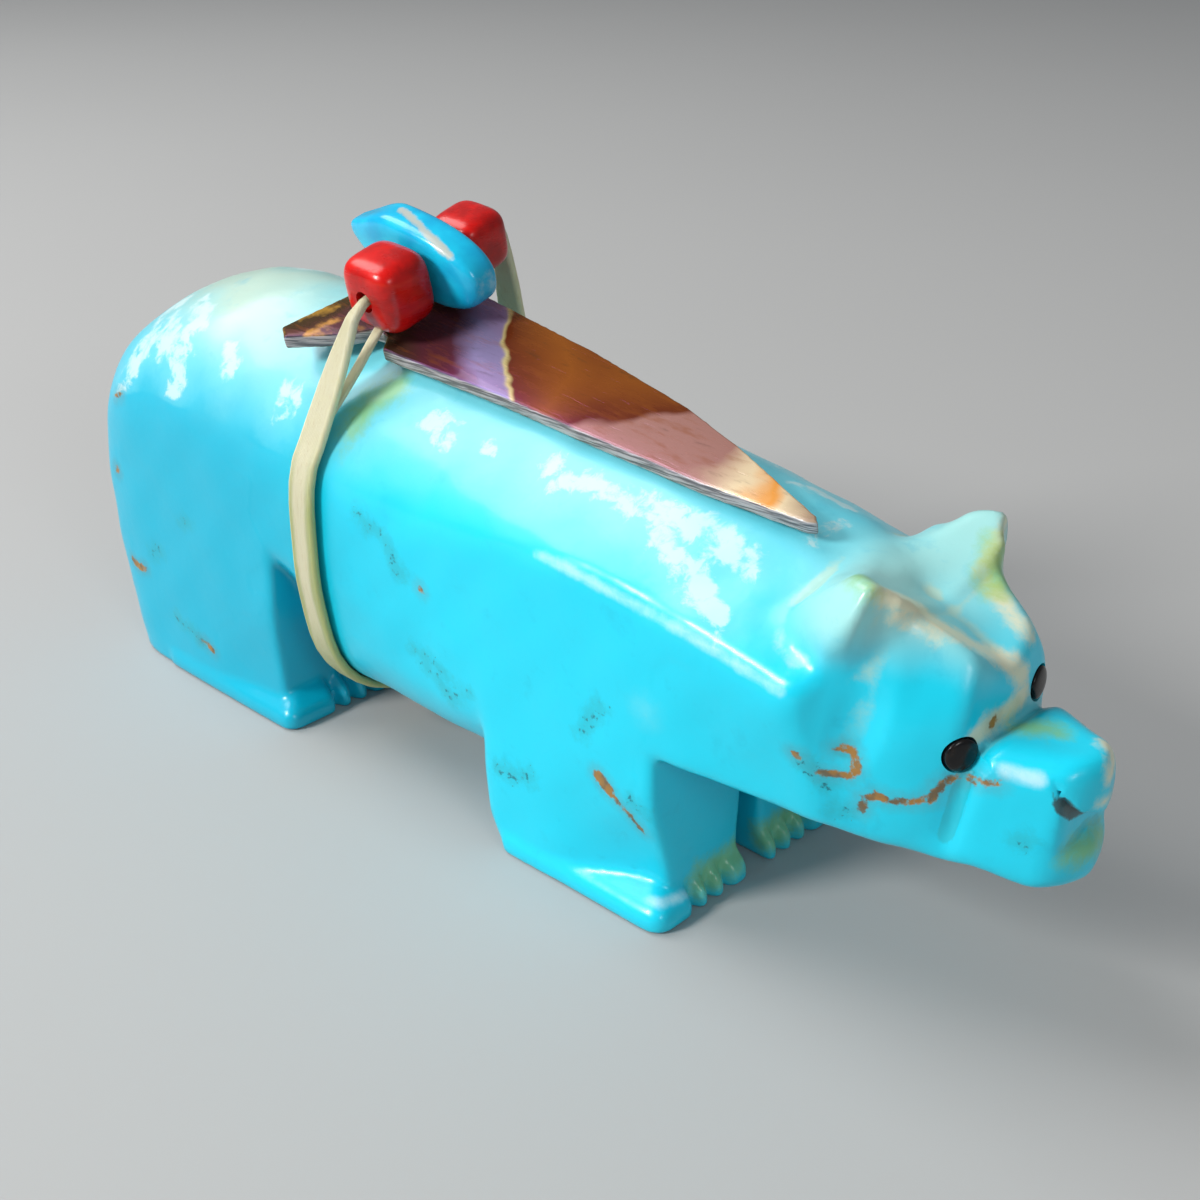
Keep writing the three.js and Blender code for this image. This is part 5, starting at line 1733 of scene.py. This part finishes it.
@dataclass
class Arrowhead:
    """A flat shell arrowhead that rests on the ridge of the back."""

    carving: Carving
    length: float = 25
    width: float = 6.2
    notch_width: float = 5.2
    base_width: float = 10.9
    base_length: float = 5.4
    thickness: float = 0.7
    roll: float = 15.4
    yaw: float = -3.4
    rest_clearance: float = 0.12
    notch_radius: float = 0.5
    notch_flare: float = 0.1
    base_hollow: float = 0.6
    bevel: float = 0.13
    bevel_angle: float = 60
    crisp_angle: float = 35
    chip_depth: float = 0.035
    rim_step: float = 0.3
    rest_step: float = 0.6
    station: tuple[float, float] = (-7.5, -0.4)
    right: Edge = Edge(
        ((0.985, 0.045), (0.78, 0.19), (0.556, 0.29), (0.31, 0.39), (0.015, 0.565)),
        -0.8,
        ((0.38, 0.35), (0.83, 0.545), (1, 0.5)),
    )
    left: Edge = Edge(
        ((0.985, 0.045), (0.77, 0.26), (0.615, 0.37), (0.36, 0.435), (0.05, 0.435)),
        -0.2,
        ((0.3, 0.3), (0.88, 0.45), (1, 0.41)),
    )
    turn: Array = field(init=False)
    frame: Array = field(init=False)
    lift: float = field(init=False)

    def __post_init__(self) -> None:
        """Work out where the plate lies, so that it just clears the back."""
        x, y = self.carving.placed(*self.station, 0)[:2]
        near, far = self.carving.back_heights(np.array([x, x + self.length]), np.array([y, y]))
        pitch = math.degrees(math.atan2(near - far, self.length))
        self.turn = turn_about(2, self.yaw) @ turn_about(1, pitch) @ turn_about(0, self.roll)
        self.frame = seat_matrix(np.array([x, y, near]), self.turn)
        along, across = self.dense_outline(self.rest_step).T
        spots = [np.c_[along, across * share, np.zeros(len(along))] for share in np.linspace(0, 1, 5)]
        under = self.to_model(np.concatenate(spots))
        heights = self.carving.back_heights(under[:, 0], under[:, 1])
        self.lift = float(np.max(heights - under[:, 2])) + self.rest_clearance

    @property
    def top(self) -> float:
        """Height of the polished face over the plate's frame."""
        return self.lift + self.thickness

    def to_model(self, points: Array) -> Array:
        """Places in the model of places in the plate's frame."""
        return points @ self.frame[:3, :3].T + self.frame[:3, 3]

    def to_plate(self, points: Array) -> Array:
        """Places in the plate's frame of places in the model."""
        return (points - self.frame[:3, 3]) @ self.frame[:3, :3]

    def outline(self) -> Array:
        """Corners of the outline, along and across the blade."""

        def edge_points(edge: Edge, side: int) -> list[tuple[float, float]]:
            """Corners of one edge.

            Args:
                edge: The edge.
                side: Sign of its side.

            Returns:
                The corners from the tip to the base.
            """
            shoulder = side * (self.notch_width / 2 + self.notch_flare)
            blade = [(s * self.length, side * t * self.width) for s, t in edge.blade]
            notch = [
                (edge.notch + self.notch_radius, shoulder),
                (edge.notch, side * self.notch_width / 2),
                (edge.notch - self.notch_radius, shoulder),
            ]
            return blade + notch + [(-s * self.base_length, side * t * self.base_width) for s, t in edge.base]

        middle = (self.base_hollow - self.base_length, 0.0)
        left, right = edge_points(self.left, 1), edge_points(self.right, -1)
        return np.array([(self.length, 0.0), *left, middle, *right[::-1]])

    def dense_outline(self, step: float) -> Array:
        """Outline with more corners.

        Args:
            step: The longest way between two of them.

        Returns:
            The corners, one row each.
        """
        rows = []
        corners = self.outline()
        for start, end in zip(corners, np.roll(corners, -1, axis=0)):
            count = max(math.ceil(float(np.linalg.norm(end - start)) / step), 1)
            rows.append(start + (end - start) * (np.arange(count) / count)[:, None])
        return np.concatenate(rows)

    def build(self) -> Piece:
        """The plate, its rim a little chipped and its edges rounded."""
        rim = self.dense_outline(self.rim_step)
        ahead, behind = np.roll(rim, -1, axis=0), np.roll(rim, 1, axis=0)
        along = (ahead - behind) / np.linalg.norm(ahead - behind, axis=1)[:, None]
        steps = np.arange(len(rim))
        chips = np.abs(np.sin(steps * 0.9 + 2 * np.sin(steps * 0.37))) * self.chip_depth
        rim = rim + np.stack([-along[:, 1], along[:, 0]], 1) * chips[:, None]
        count = len(rim)
        corners = np.concatenate([np.c_[rim, np.full(count, level)] for level in (self.lift, self.top)])
        faces = [tuple(range(count))[::-1], tuple(range(count, 2 * count))]
        faces += [(i, (i + 1) % count, count + (i + 1) % count, count + i) for i in range(count)]
        piece = new_piece("arrowhead_shell", self.to_model(corners), faces)
        face_outwards(piece)
        round_edges = piece.modifiers.new("round", "BEVEL")
        round_edges.width = self.bevel * MM
        round_edges.segments = 3
        round_edges.limit_method = "ANGLE"
        round_edges.angle_limit = math.radians(self.bevel_angle)
        bake_modifiers(piece)
        shade(piece, self.crisp_angle)
        return piece

    def dress(self) -> None:
        """Build, dress and seat the arrowhead."""
        piece = self.build()
        plate = self.to_plate(corners_of(piece))
        for name, values in zip(("along", "across", "level"), plate.T):
            store(piece, name, values)
        paint(piece, ShellFinish().material(self.length, self.top))
        fit_frame(piece, Slot.SHELL, "arrowhead")


# The row of beads


@dataclass
class BeadRow:
    """Two coral beads with a turquoise nugget between them, on the tie's thread."""

    plate: Arrowhead
    wrap_thickness: float = 0.25
    right_length: float = 3.2
    right_size: float = 3.6
    left_length: float = 2.9
    left_size: float = 3.1
    nugget_thickness: float = 2.1
    nugget_length: float = 9.2
    nugget_height: float = 3.9
    nugget_tilt: float = 5
    nugget_taper: float = 0.5
    nugget_overhang: float = 0.7
    nugget_outline: float = 2.4
    nugget_edge: float = 5
    coral_squareness: float = 4
    coral_taper: float = 0.05
    rings: int = 40
    coral_sides: int = 64
    nugget_sides: int = 96
    bore_sides: int = 32
    crisp_angle: float = 50
    streak: Mark = Mark(((-1.6, 0.2, 2.1), (0.4, -0.4, 2.0), (2.6, -0.9, 1.3)), 0.12)
    worn_share: float = 0.1
    bore: float = 1.1
    gap: float = 0.15
    seat_spare: float = 0.1
    station: float = -0.5
    middle: float = 0.9
    swing: float = 5

    @property
    def seat_rise(self) -> float:
        """Height of the beads' seat over the plate's frame."""
        return self.plate.top + self.wrap_thickness + 2 * self.plate.rest_clearance + self.seat_spare

    @property
    def thread_rise(self) -> float:
        """Height of the thread over the plate's frame."""
        return self.seat_rise + self.right_size / 2

    @property
    def right_reach(self) -> float:
        """Place of the right coral bead along the row."""
        return self.middle - self.nugget_thickness / 2 - self.gap - self.right_length / 2

    @property
    def left_reach(self) -> float:
        """Place of the left coral bead along the row."""
        return self.middle + self.nugget_thickness / 2 + self.gap + self.left_length / 2

    @property
    def turn(self) -> Array:
        """Rotation of the row."""
        return self.plate.turn @ turn_about(2, self.swing)

    def place(self, reach: float, height: float) -> Array:
        """Place in the model.

        Args:
            reach: Place along the row.
            height: Height over the plate's frame.

        Returns:
            The place.
        """
        s, c = math.sin(math.radians(self.swing)), math.cos(math.radians(self.swing))
        return self.plate.to_model(np.array([[self.station - reach * s, reach * c, height]]))[0]

    def bead(self, name: str, corners: Array, faces: Faces, reach: float, height: float) -> Piece:
        """A drilled bead on its seat.

        Args:
            name: The piece's name.
            corners: Corners about the bead's middle, one row each.
            faces: Rows of corner numbers.
            reach: Its place along the row.
            height: Its own height.

        Returns:
            The new object.
        """
        seat = self.place(reach, self.seat_rise + height / 2)
        piece = new_piece(name, corners @ self.turn.T + seat, faces)
        face_outwards(piece)
        run = 2 * self.right_length
        outline = [(0, -run), (self.bore / 2, -run), (self.bore / 2, run), (0, run)]
        along_thread = seat_matrix(self.place(reach, self.thread_rise), self.turn @ turn_about(0, 90))
        cut_away(piece, [lathe("drill", outline, self.bore_sides, along_thread)])
        shade(piece, self.crisp_angle)
        return piece

    def coral(self, side: Side) -> Piece:
        """One coral bead, hand-ground to a rounded block.

        Args:
            side: The bead's side of the row.

        Returns:
            The new object.
        """
        right = side is Side.RIGHT
        size, length = (self.right_size, self.right_length) if right else (self.left_size, self.left_length)
        square = self.coral_squareness
        corners, faces = rounded_block((size, length, size), square, square, self.rings, self.coral_sides)
        lean = 1 + self.coral_taper * corners[:, [2]] / size * side.value
        corners = corners * np.c_[lean, np.ones(len(corners)), np.ones(len(corners))]
        reach = self.right_reach if right else self.left_reach
        return self.bead(f"{side.name.lower()}_coral", corners, faces, reach, size)

    def nugget(self) -> Piece:
        """The turquoise nugget, tapered towards its rear end."""
        size = (self.nugget_length, self.nugget_thickness, self.nugget_height)
        corners, faces = rounded_block(
            size, self.nugget_outline, self.nugget_edge, self.rings, self.nugget_sides
        )
        taper = 1 - self.nugget_taper * ease(0.15, 0.5, -corners[:, 0] / self.nugget_length)
        corners = corners * np.c_[np.ones(len(corners)), taper ** 0.5, taper]
        corners = corners @ turn_about(1, self.nugget_tilt).T - np.array([self.nugget_overhang, 0, 0])
        return self.bead("nugget_turquoise", corners, faces, self.middle, self.nugget_height)

    def dress(self) -> None:
        """Build, dress and seat the beads."""
        red = CoralFinish().material()
        for side in Side:
            bead = self.coral(side)
            paint(bead, red)
            fit_frame(bead, Slot.CORAL, f"{side.name.lower()}_coral_bead")
        nugget = self.nugget()
        seat = self.place(self.middle, self.seat_rise + self.nugget_height / 2)
        own = (corners_of(nugget) - seat) @ self.turn
        store(nugget, "streak", self.streak.distance(own, own))
        store(nugget, "wear_and_highlight", np.clip(own[:, 0] / (self.nugget_length / 2) + self.worn_share, 0, 1))
        paint(nugget, BeadTurquoiseFinish().material())
        fit_frame(nugget, Slot.BEAD_TURQUOISE, "turquoise_bead")


# The sinew tie


@dataclass(frozen=True)
class Stop:
    """One stop on the tie's route: where it is, which way is out, and the strand's size there."""

    point: Array
    out: Array
    width: float
    thickness: float


def outer_hull(points: Array) -> Array:
    """Outer boundary of points in a plane.

    Args:
        points: The points, one row each.

    Returns:
        Those on the boundary, counterclockwise.
    """
    ordered = points[np.lexsort((points[:, 1], points[:, 0]))]

    def chain(rows: Array) -> list[Array]:
        """Half of the boundary.

        Args:
            rows: The points in order.

        Returns:
            Those on the boundary, without the last.
        """
        kept: list[Array] = []
        for point in rows:
            while len(kept) > 1:
                a, b = kept[-1] - kept[-2], point - kept[-2]
                if a[0] * b[1] - a[1] * b[0] > 0:
                    break
                kept.pop()
            kept.append(point)
        return kept[:-1]

    return np.array(chain(ordered) + chain(ordered[::-1]))


class FibreTree(Tree):
    """Geometry Nodes that lay a bundle of fibres along a route."""

    seed_step: float = 7.3
    flat_ratio: float = 1.5

    def __init__(self, name: str) -> None:
        """Build the tree with its named inputs.

        Args:
            name: The tree's name.
        """
        super().__init__(bpy.data.node_groups.new(name, "GeometryNodeTree"))
        interface = self.tree.interface
        interface.new_socket("Geometry", in_out="INPUT", socket_type="NodeSocketGeometry")
        self.sockets = {
            label: interface.new_socket(label, in_out="INPUT", socket_type=kind).identifier
            for label, kind in (
                ("Fibres", "NodeSocketInt"),
                ("Spacing", "NodeSocketFloat"),
                ("Wander", "NodeSocketFloat"),
                ("Wander Length", "NodeSocketFloat"),
                ("Seed", "NodeSocketFloat"),
                ("Sides", "NodeSocketInt"),
                ("Finish", "NodeSocketMaterial"),
            )
        }
        interface.new_socket("Geometry", in_out="OUTPUT", socket_type="NodeSocketGeometry")
        self.wire({socket.name: Wire(self, socket) for socket in self.node("NodeGroupInput", {}, {}).outputs})

    def named(self, name: str, kind: str) -> Wire:
        """A value kept at the route's stops."""
        node = self.node("GeometryNodeInputNamedAttribute", {"data_type": kind}, {"Name": name})
        return Wire(self, node.outputs["Attribute"])

    def wire(self, given: dict[str, Wire]) -> None:
        """Lay out the tree, from the route to the finished bundle.

        Args:
            given: The tree's inputs.
        """
        route = self.node("GeometryNodeMeshToCurve", {}, {0: given["Geometry"]}).outputs[0]
        values = {"Curve": route, "Length": given["Spacing"]}
        even = self.node("GeometryNodeResampleCurve", {"mode": "LENGTH"}, values).outputs[0]
        values = {"Geometry": even, "Amount": given["Fibres"]}
        copies = self.node("GeometryNodeDuplicateElements", {"domain": "SPLINE"}, values)
        index = Wire(self, copies.outputs["Duplicate Index"])
        share = index / (given["Fibres"] - 1.0) - 0.5
        width, thickness = self.named("width", "FLOAT"), self.named("thickness", "FLOAT")
        spread = share * (width - thickness)
        place = self.node("GeometryNodeInputPosition", {}, {}).outputs[0]
        seed = given["Seed"] + index * self.seed_step
        values = {"Vector": place, "W": seed, "Scale": 1.0 / given["Wander Length"], "Detail": 1.0}
        noise = Wire(self, self.node("ShaderNodeTexNoise", {"noise_dimensions": "4D"}, values).outputs[0])
        flat = width.maths("GREATER_THAN", width, thickness * self.flat_ratio)
        slack = (noise - 0.5) * given["Wander"] * flat
        across = self.scaled(self.named("across", "FLOAT_VECTOR"), spread + slack)
        moved = self.node("GeometryNodeSetPosition", {}, {"Geometry": copies.outputs[0], "Offset": across})
        edge = share.maths("ABSOLUTE", share) * 2.0
        values = {"Geometry": moved.outputs[0], "Name": "edge", "Value": edge}
        settings = {"data_type": "FLOAT", "domain": "POINT"}
        kept = self.node("GeometryNodeStoreNamedAttribute", settings, values).outputs[0]
        values = {"Resolution": given["Sides"], "Radius": 1.0}
        ring = self.node("GeometryNodeCurvePrimitiveCircle", {"mode": "RADIUS"}, values).outputs[0]
        values = {"Curve": kept, "Profile Curve": ring, "Scale": thickness * 0.5, "Fill Caps": True}
        swept = self.node("GeometryNodeCurveToMesh", {}, values).outputs[0]
        smooth = self.node("GeometryNodeSetShadeSmooth", {}, {0: swept}).outputs[0]
        real = self.node("GeometryNodeRealizeInstances", {}, {0: smooth}).outputs[0]
        values = {"Geometry": real, "Material": given["Finish"]}
        dressed = self.node("GeometryNodeSetMaterial", {}, values).outputs[0]
        self.node("NodeGroupOutput", {}, {0: dressed})

    def put_on(self, piece: Piece, values: dict[str, Any]) -> None:
        """Run the tree on a route and turn the result into a plain mesh.

        Args:
            piece: The route.
            values: The tree's inputs.
        """
        bundle = piece.modifiers.new("fibres", "NODES")
        bundle.node_group = self.tree
        for label, value in values.items():
            bundle[self.sockets[label]] = value
        bake_modifiers(piece)


@dataclass
class SinewTie:
    """A flat strand round the bear that rises to the beads, and a thin wrap over the arrowhead."""

    carving: Carving
    plate: Arrowhead
    beads: BeadRow
    width: float = 1.8
    thickness: float = 0.45
    wrap_width: float = 0.6
    wrap_thickness: float = 0.25
    thread: float = 0.5
    station: float = -9.6
    stops: int = 56
    rays: int = 96
    fibres: int = 13
    spacing: float = 0.25
    wander: float = 0.05
    wander_length: float = 3.5
    seed: float = 4.0
    sides: int = 12
    lean_from: float = 0.7
    strand_top: float = 0.8
    wrap_foot: float = 0.78
    notch_centre: float = 0.1
    notch_spare: float = 0.3
    bore_lead: float = 0.5
    rises: tuple[float, ...] = (0.2, 0.4, 0.6, 0.8, 0.92)

    @property
    def flank(self) -> float:
        """Place of the strand along the bear's flank."""
        return self.carving.placed(self.station, 0, 0)[0]

    def lean(self, z: Array) -> Array:
        """Place along the bear, upright on the flanks and leaning to the notches above.

        Args:
            z: Heights.

        Returns:
            The place at each height.
        """
        back = self.carving.back
        notch = self.plate.to_model(np.array([[self.plate.right.notch, 0, 0]]))[0, 0] + self.notch_centre
        return self.flank + (notch - self.flank) * ease(self.lean_from * back, back, z)

    def girth(self) -> tuple[Array, Array]:
        """Points and outward directions of the way round the bear, pulled tight, from the belly on."""
        angles = np.arange(self.rays) / self.rays * 2 * math.pi
        directions = np.stack([np.zeros(self.rays), np.cos(angles), np.sin(angles)], 1)
        rows = []
        for offset in (-self.width / 2, 0.0, self.width / 2):
            origins = np.tile([self.flank + offset, 0, self.carving.back / 2], (self.rays, 1))
            first = self.carving.surface_points(origins, directions)
            origins[:, 0] = self.lean(first[:, 2]) + offset
            rows.append(self.carving.surface_points(origins, directions)[:, 1:])
            for side in Side:
                for height in (self.plate.lift, self.plate.top + self.plate.rest_clearance):
                    reach = side.value * (self.plate.notch_width / 2 + self.notch_spare)
                    corner = np.array([[self.plate.right.notch + offset, reach, height]])
                    rows.append(self.plate.to_model(corner)[:, 1:])
        hull = outer_hull(np.concatenate(rows))
        closed = np.concatenate([hull, hull[:1]])
        length = np.concatenate([[0], np.cumsum(np.linalg.norm(np.diff(closed, axis=0), axis=1))])
        spots = np.arange(self.stops) / self.stops * length[-1]
        even = np.stack([np.interp(spots, length, closed[:, n]) for n in range(2)], 1)
        even = np.roll(even, -int(np.argmin(even[:, 1] + np.abs(even[:, 0]))), axis=0)
        along = np.roll(even, -1, axis=0) - np.roll(even, 1, axis=0)
        along /= np.linalg.norm(along, axis=1)[:, None]
        points = np.c_[self.lean(even[:, 1]), even]
        return points, np.stack([np.zeros(self.stops), along[:, 1], -along[:, 0]], 1)

    def laid(self, point: Array, out: Array, width: float, thickness: float) -> Stop:
        """A stop that lies on the surface."""
        return Stop(point + out * (self.plate.rest_clearance + thickness / 2), out, width, thickness)

    def routes(self) -> tuple[list[Stop], list[Stop]]:
        """The closed strand with its thread through the beads, and the open wrap."""
        beads, back = self.beads, self.carving.back
        points, outs = self.girth()
        above = np.flatnonzero(points[:, 2] >= self.strand_top * back)
        size = (self.width, self.thickness)
        left = [self.laid(points[i], outs[i], *size) for i in range(above[0])]
        right = [self.laid(points[i], outs[i], *size) for i in range(above[-1] + 1, self.stops)]
        lead, up = beads.turn[:, 1] * self.bore_lead, np.array([0.0, 0.0, 1.0])
        right_end = beads.place(beads.right_reach - beads.right_length / 2, beads.thread_rise)
        left_end = beads.place(beads.left_reach + beads.left_length / 2, beads.thread_rise)

        def rising(start: Stop, mouth: Array) -> list[Stop]:
            """Stops from the flank up to a bead, narrowing.

            Args:
                start: The last stop on the flank.
                mouth: Place in front of the bead's bore.

            Returns:
                The stops in order.
            """
            rows = []
            for share in self.rises:
                out = start.out + (up - start.out) * share / 2
                width = self.width + (self.thread - self.width) * share ** 3
                thickness = self.thickness + (self.thread - self.thickness) * share ** 3
                rows.append(Stop(start.point + (mouth - start.point) * share, out, width, thickness))
            return rows

        threads = [Stop(end, up, self.thread, self.thread) for end in (left_end, right_end)]
        whole = right + left + rising(left[-1], left_end + lead) + threads
        whole += rising(right[0], right_end - lead)[::-1]
        wrap = np.flatnonzero(points[:, 2] >= self.wrap_foot * back)
        over = [self.laid(points[i], outs[i], self.wrap_width, self.wrap_thickness) for i in wrap]
        return whole, over

    def build(self) -> Piece:
        """The tie as a bundle of fibres."""
        corners, across, sizes, edges = [], [], [], []
        for stops, closed in zip(self.routes(), (True, False)):
            first, count = len(corners), len(stops)
            for i, stop in enumerate(stops):
                before = stops[(i - 1) % count if closed else max(i - 1, 0)].point
                after = stops[(i + 1) % count if closed else min(i + 1, count - 1)].point
                along = (after - before) / np.linalg.norm(after - before)
                out = stop.out - along * float(stop.out @ along)
                corners.append(stop.point)
                across.append(np.cross(out / np.linalg.norm(out), along))
                sizes.append((stop.width, stop.thickness))
            edges += [(first + i, first + (i + 1) % count) for i in range(count if closed else count - 1)]
        mesh = bpy.data.meshes.new("tie_sinew")
        mesh.from_pydata((np.array(corners) * MM).tolist(), edges, [])
        piece = bpy.data.objects.new("tie_sinew", mesh)
        bpy.context.scene.collection.objects.link(piece)
        store(piece, "width", np.array(sizes)[:, 0] * MM)
        store(piece, "thickness", np.array(sizes)[:, 1] * MM)
        direction = mesh.attributes.new("across", "FLOAT_VECTOR", "POINT")
        direction.data.foreach_set("vector", np.array(across, dtype=np.float32).ravel())
        FibreTree("fibres").put_on(piece, {
            "Fibres": self.fibres, "Spacing": self.spacing * MM, "Wander": self.wander * MM,
            "Wander Length": self.wander_length * MM, "Seed": self.seed, "Sides": self.sides,
            "Finish": SinewFinish().material(),
        })
        return piece

    def dress(self) -> None:
        """Build, dress and seat the tie."""
        fit_frame(self.build(), Slot.SINEW, "sinew_tie")


# Floor, light and camera


@dataclass(frozen=True)
class Lamp:
    """A soft light: where it stands, what it faces, its width and its power in watts."""

    name: str
    place: Place
    target: Place
    width: float
    power: float
    colour: Colour = (1.0, 1.0, 1.0)

    def put_up(self) -> None:
        """Add the light to the scene."""
        data = bpy.data.lights.new(self.name, "AREA")
        data.shape = "DISK"
        data.size = self.width * MM
        data.energy = self.power
        data.color = self.colour
        lamp = bpy.data.objects.new(self.name, data)
        beam = np.array(self.place) - np.array(self.target)
        turn = turn_onto(beam / np.linalg.norm(beam))
        lamp.matrix_world = Matrix(seat_matrix(np.array(self.place) * MM, turn).tolist())
        bpy.context.scene.collection.objects.link(lamp)


@dataclass(frozen=True)
class Studio:
    """Pale floor, soft light and the camera at the photograph's angle."""

    camera_place: Place = (53.02, -51.58, 47.76)
    camera_azimuth: float = 43.69
    camera_elevation: float = 27.25
    camera_lens: float = 49.5
    film_width: float = 36
    floor_size: float = 6000
    floor_roughness: float = 0.8
    mottle_size: float = 60
    mottle_shade: float = 0.97
    floor_colour: Colour = (0.44, 0.44, 0.435)
    sky_colour: Colour = (0.9, 0.95, 1.0)
    sky_strength: float = 0.24
    lamps: tuple[Lamp, ...] = (
        Lamp("key", (-120, -330, 230), (0, 0, 10), 110, 1.5, (1.0, 0.99, 0.97)),
        Lamp("overhead", (-215, -75, 310), (0, 0, 10), 260, 0.9),
        Lamp("front", (330, -120, 160), (0, 0, 10), 120, 0.22),
    )

    def put_up_camera(self) -> None:
        """Place the camera."""
        data = bpy.data.cameras.new("camera")
        data.lens = self.camera_lens
        data.sensor_width = self.film_width
        data.clip_start = MM
        camera = bpy.data.objects.new("camera", data)
        turn = turn_about(2, self.camera_azimuth) @ turn_about(0, 90 - self.camera_elevation)
        camera.matrix_world = Matrix(seat_matrix(np.array(self.camera_place) * MM, turn).tolist())
        bpy.context.scene.collection.objects.link(camera)
        bpy.context.scene.camera = camera

    def lay_floor(self) -> None:
        """Lay the floor."""
        half = self.floor_size / 2
        corners = np.array([(-half, -half, 0), (half, -half, 0), (half, half, 0), (-half, half, 0)])
        floor = new_piece("floor", corners, [(0, 1, 2, 3)])
        recipe = Recipe("floor_paper")
        mottle = recipe.noise(recipe.place(), self.mottle_size)
        darker = tuple(self.mottle_shade * part for part in self.floor_colour)
        paint(floor, recipe.finish(recipe.mix(mottle, self.floor_colour, darker), self.floor_roughness, None))

    def fill_sky(self) -> None:
        """Give the surroundings an even pale light."""
        world = bpy.data.worlds.new("studio")
        world.use_nodes = True
        backdrop = world.node_tree.nodes["Background"]
        backdrop.inputs["Color"].default_value = (*self.sky_colour, 1.0)
        backdrop.inputs["Strength"].default_value = self.sky_strength
        bpy.context.scene.world = world

    def set_up(self) -> None:
        """Set up the camera, the floor, the sky and the lamps."""
        bpy.context.scene.view_settings.view_transform = "Standard"
        self.put_up_camera()
        self.lay_floor()
        self.fill_sky()
        for lamp in self.lamps:
            lamp.put_up()


def main() -> None:
    """Build and dress every piece in order."""
    logging.basicConfig(level=logging.INFO, format="%(name)s %(message)s")
    Studio().set_up()
    carving = Carving()
    eyes = Eyes(carving)
    Bear(carving, eyes).dress()
    eyes.dress()
    plate = Arrowhead(carving)
    plate.dress()
    beads = BeadRow(plate)
    beads.dress()
    SinewTie(carving, plate, beads).dress()


if __name__ == "__main__":
    main()
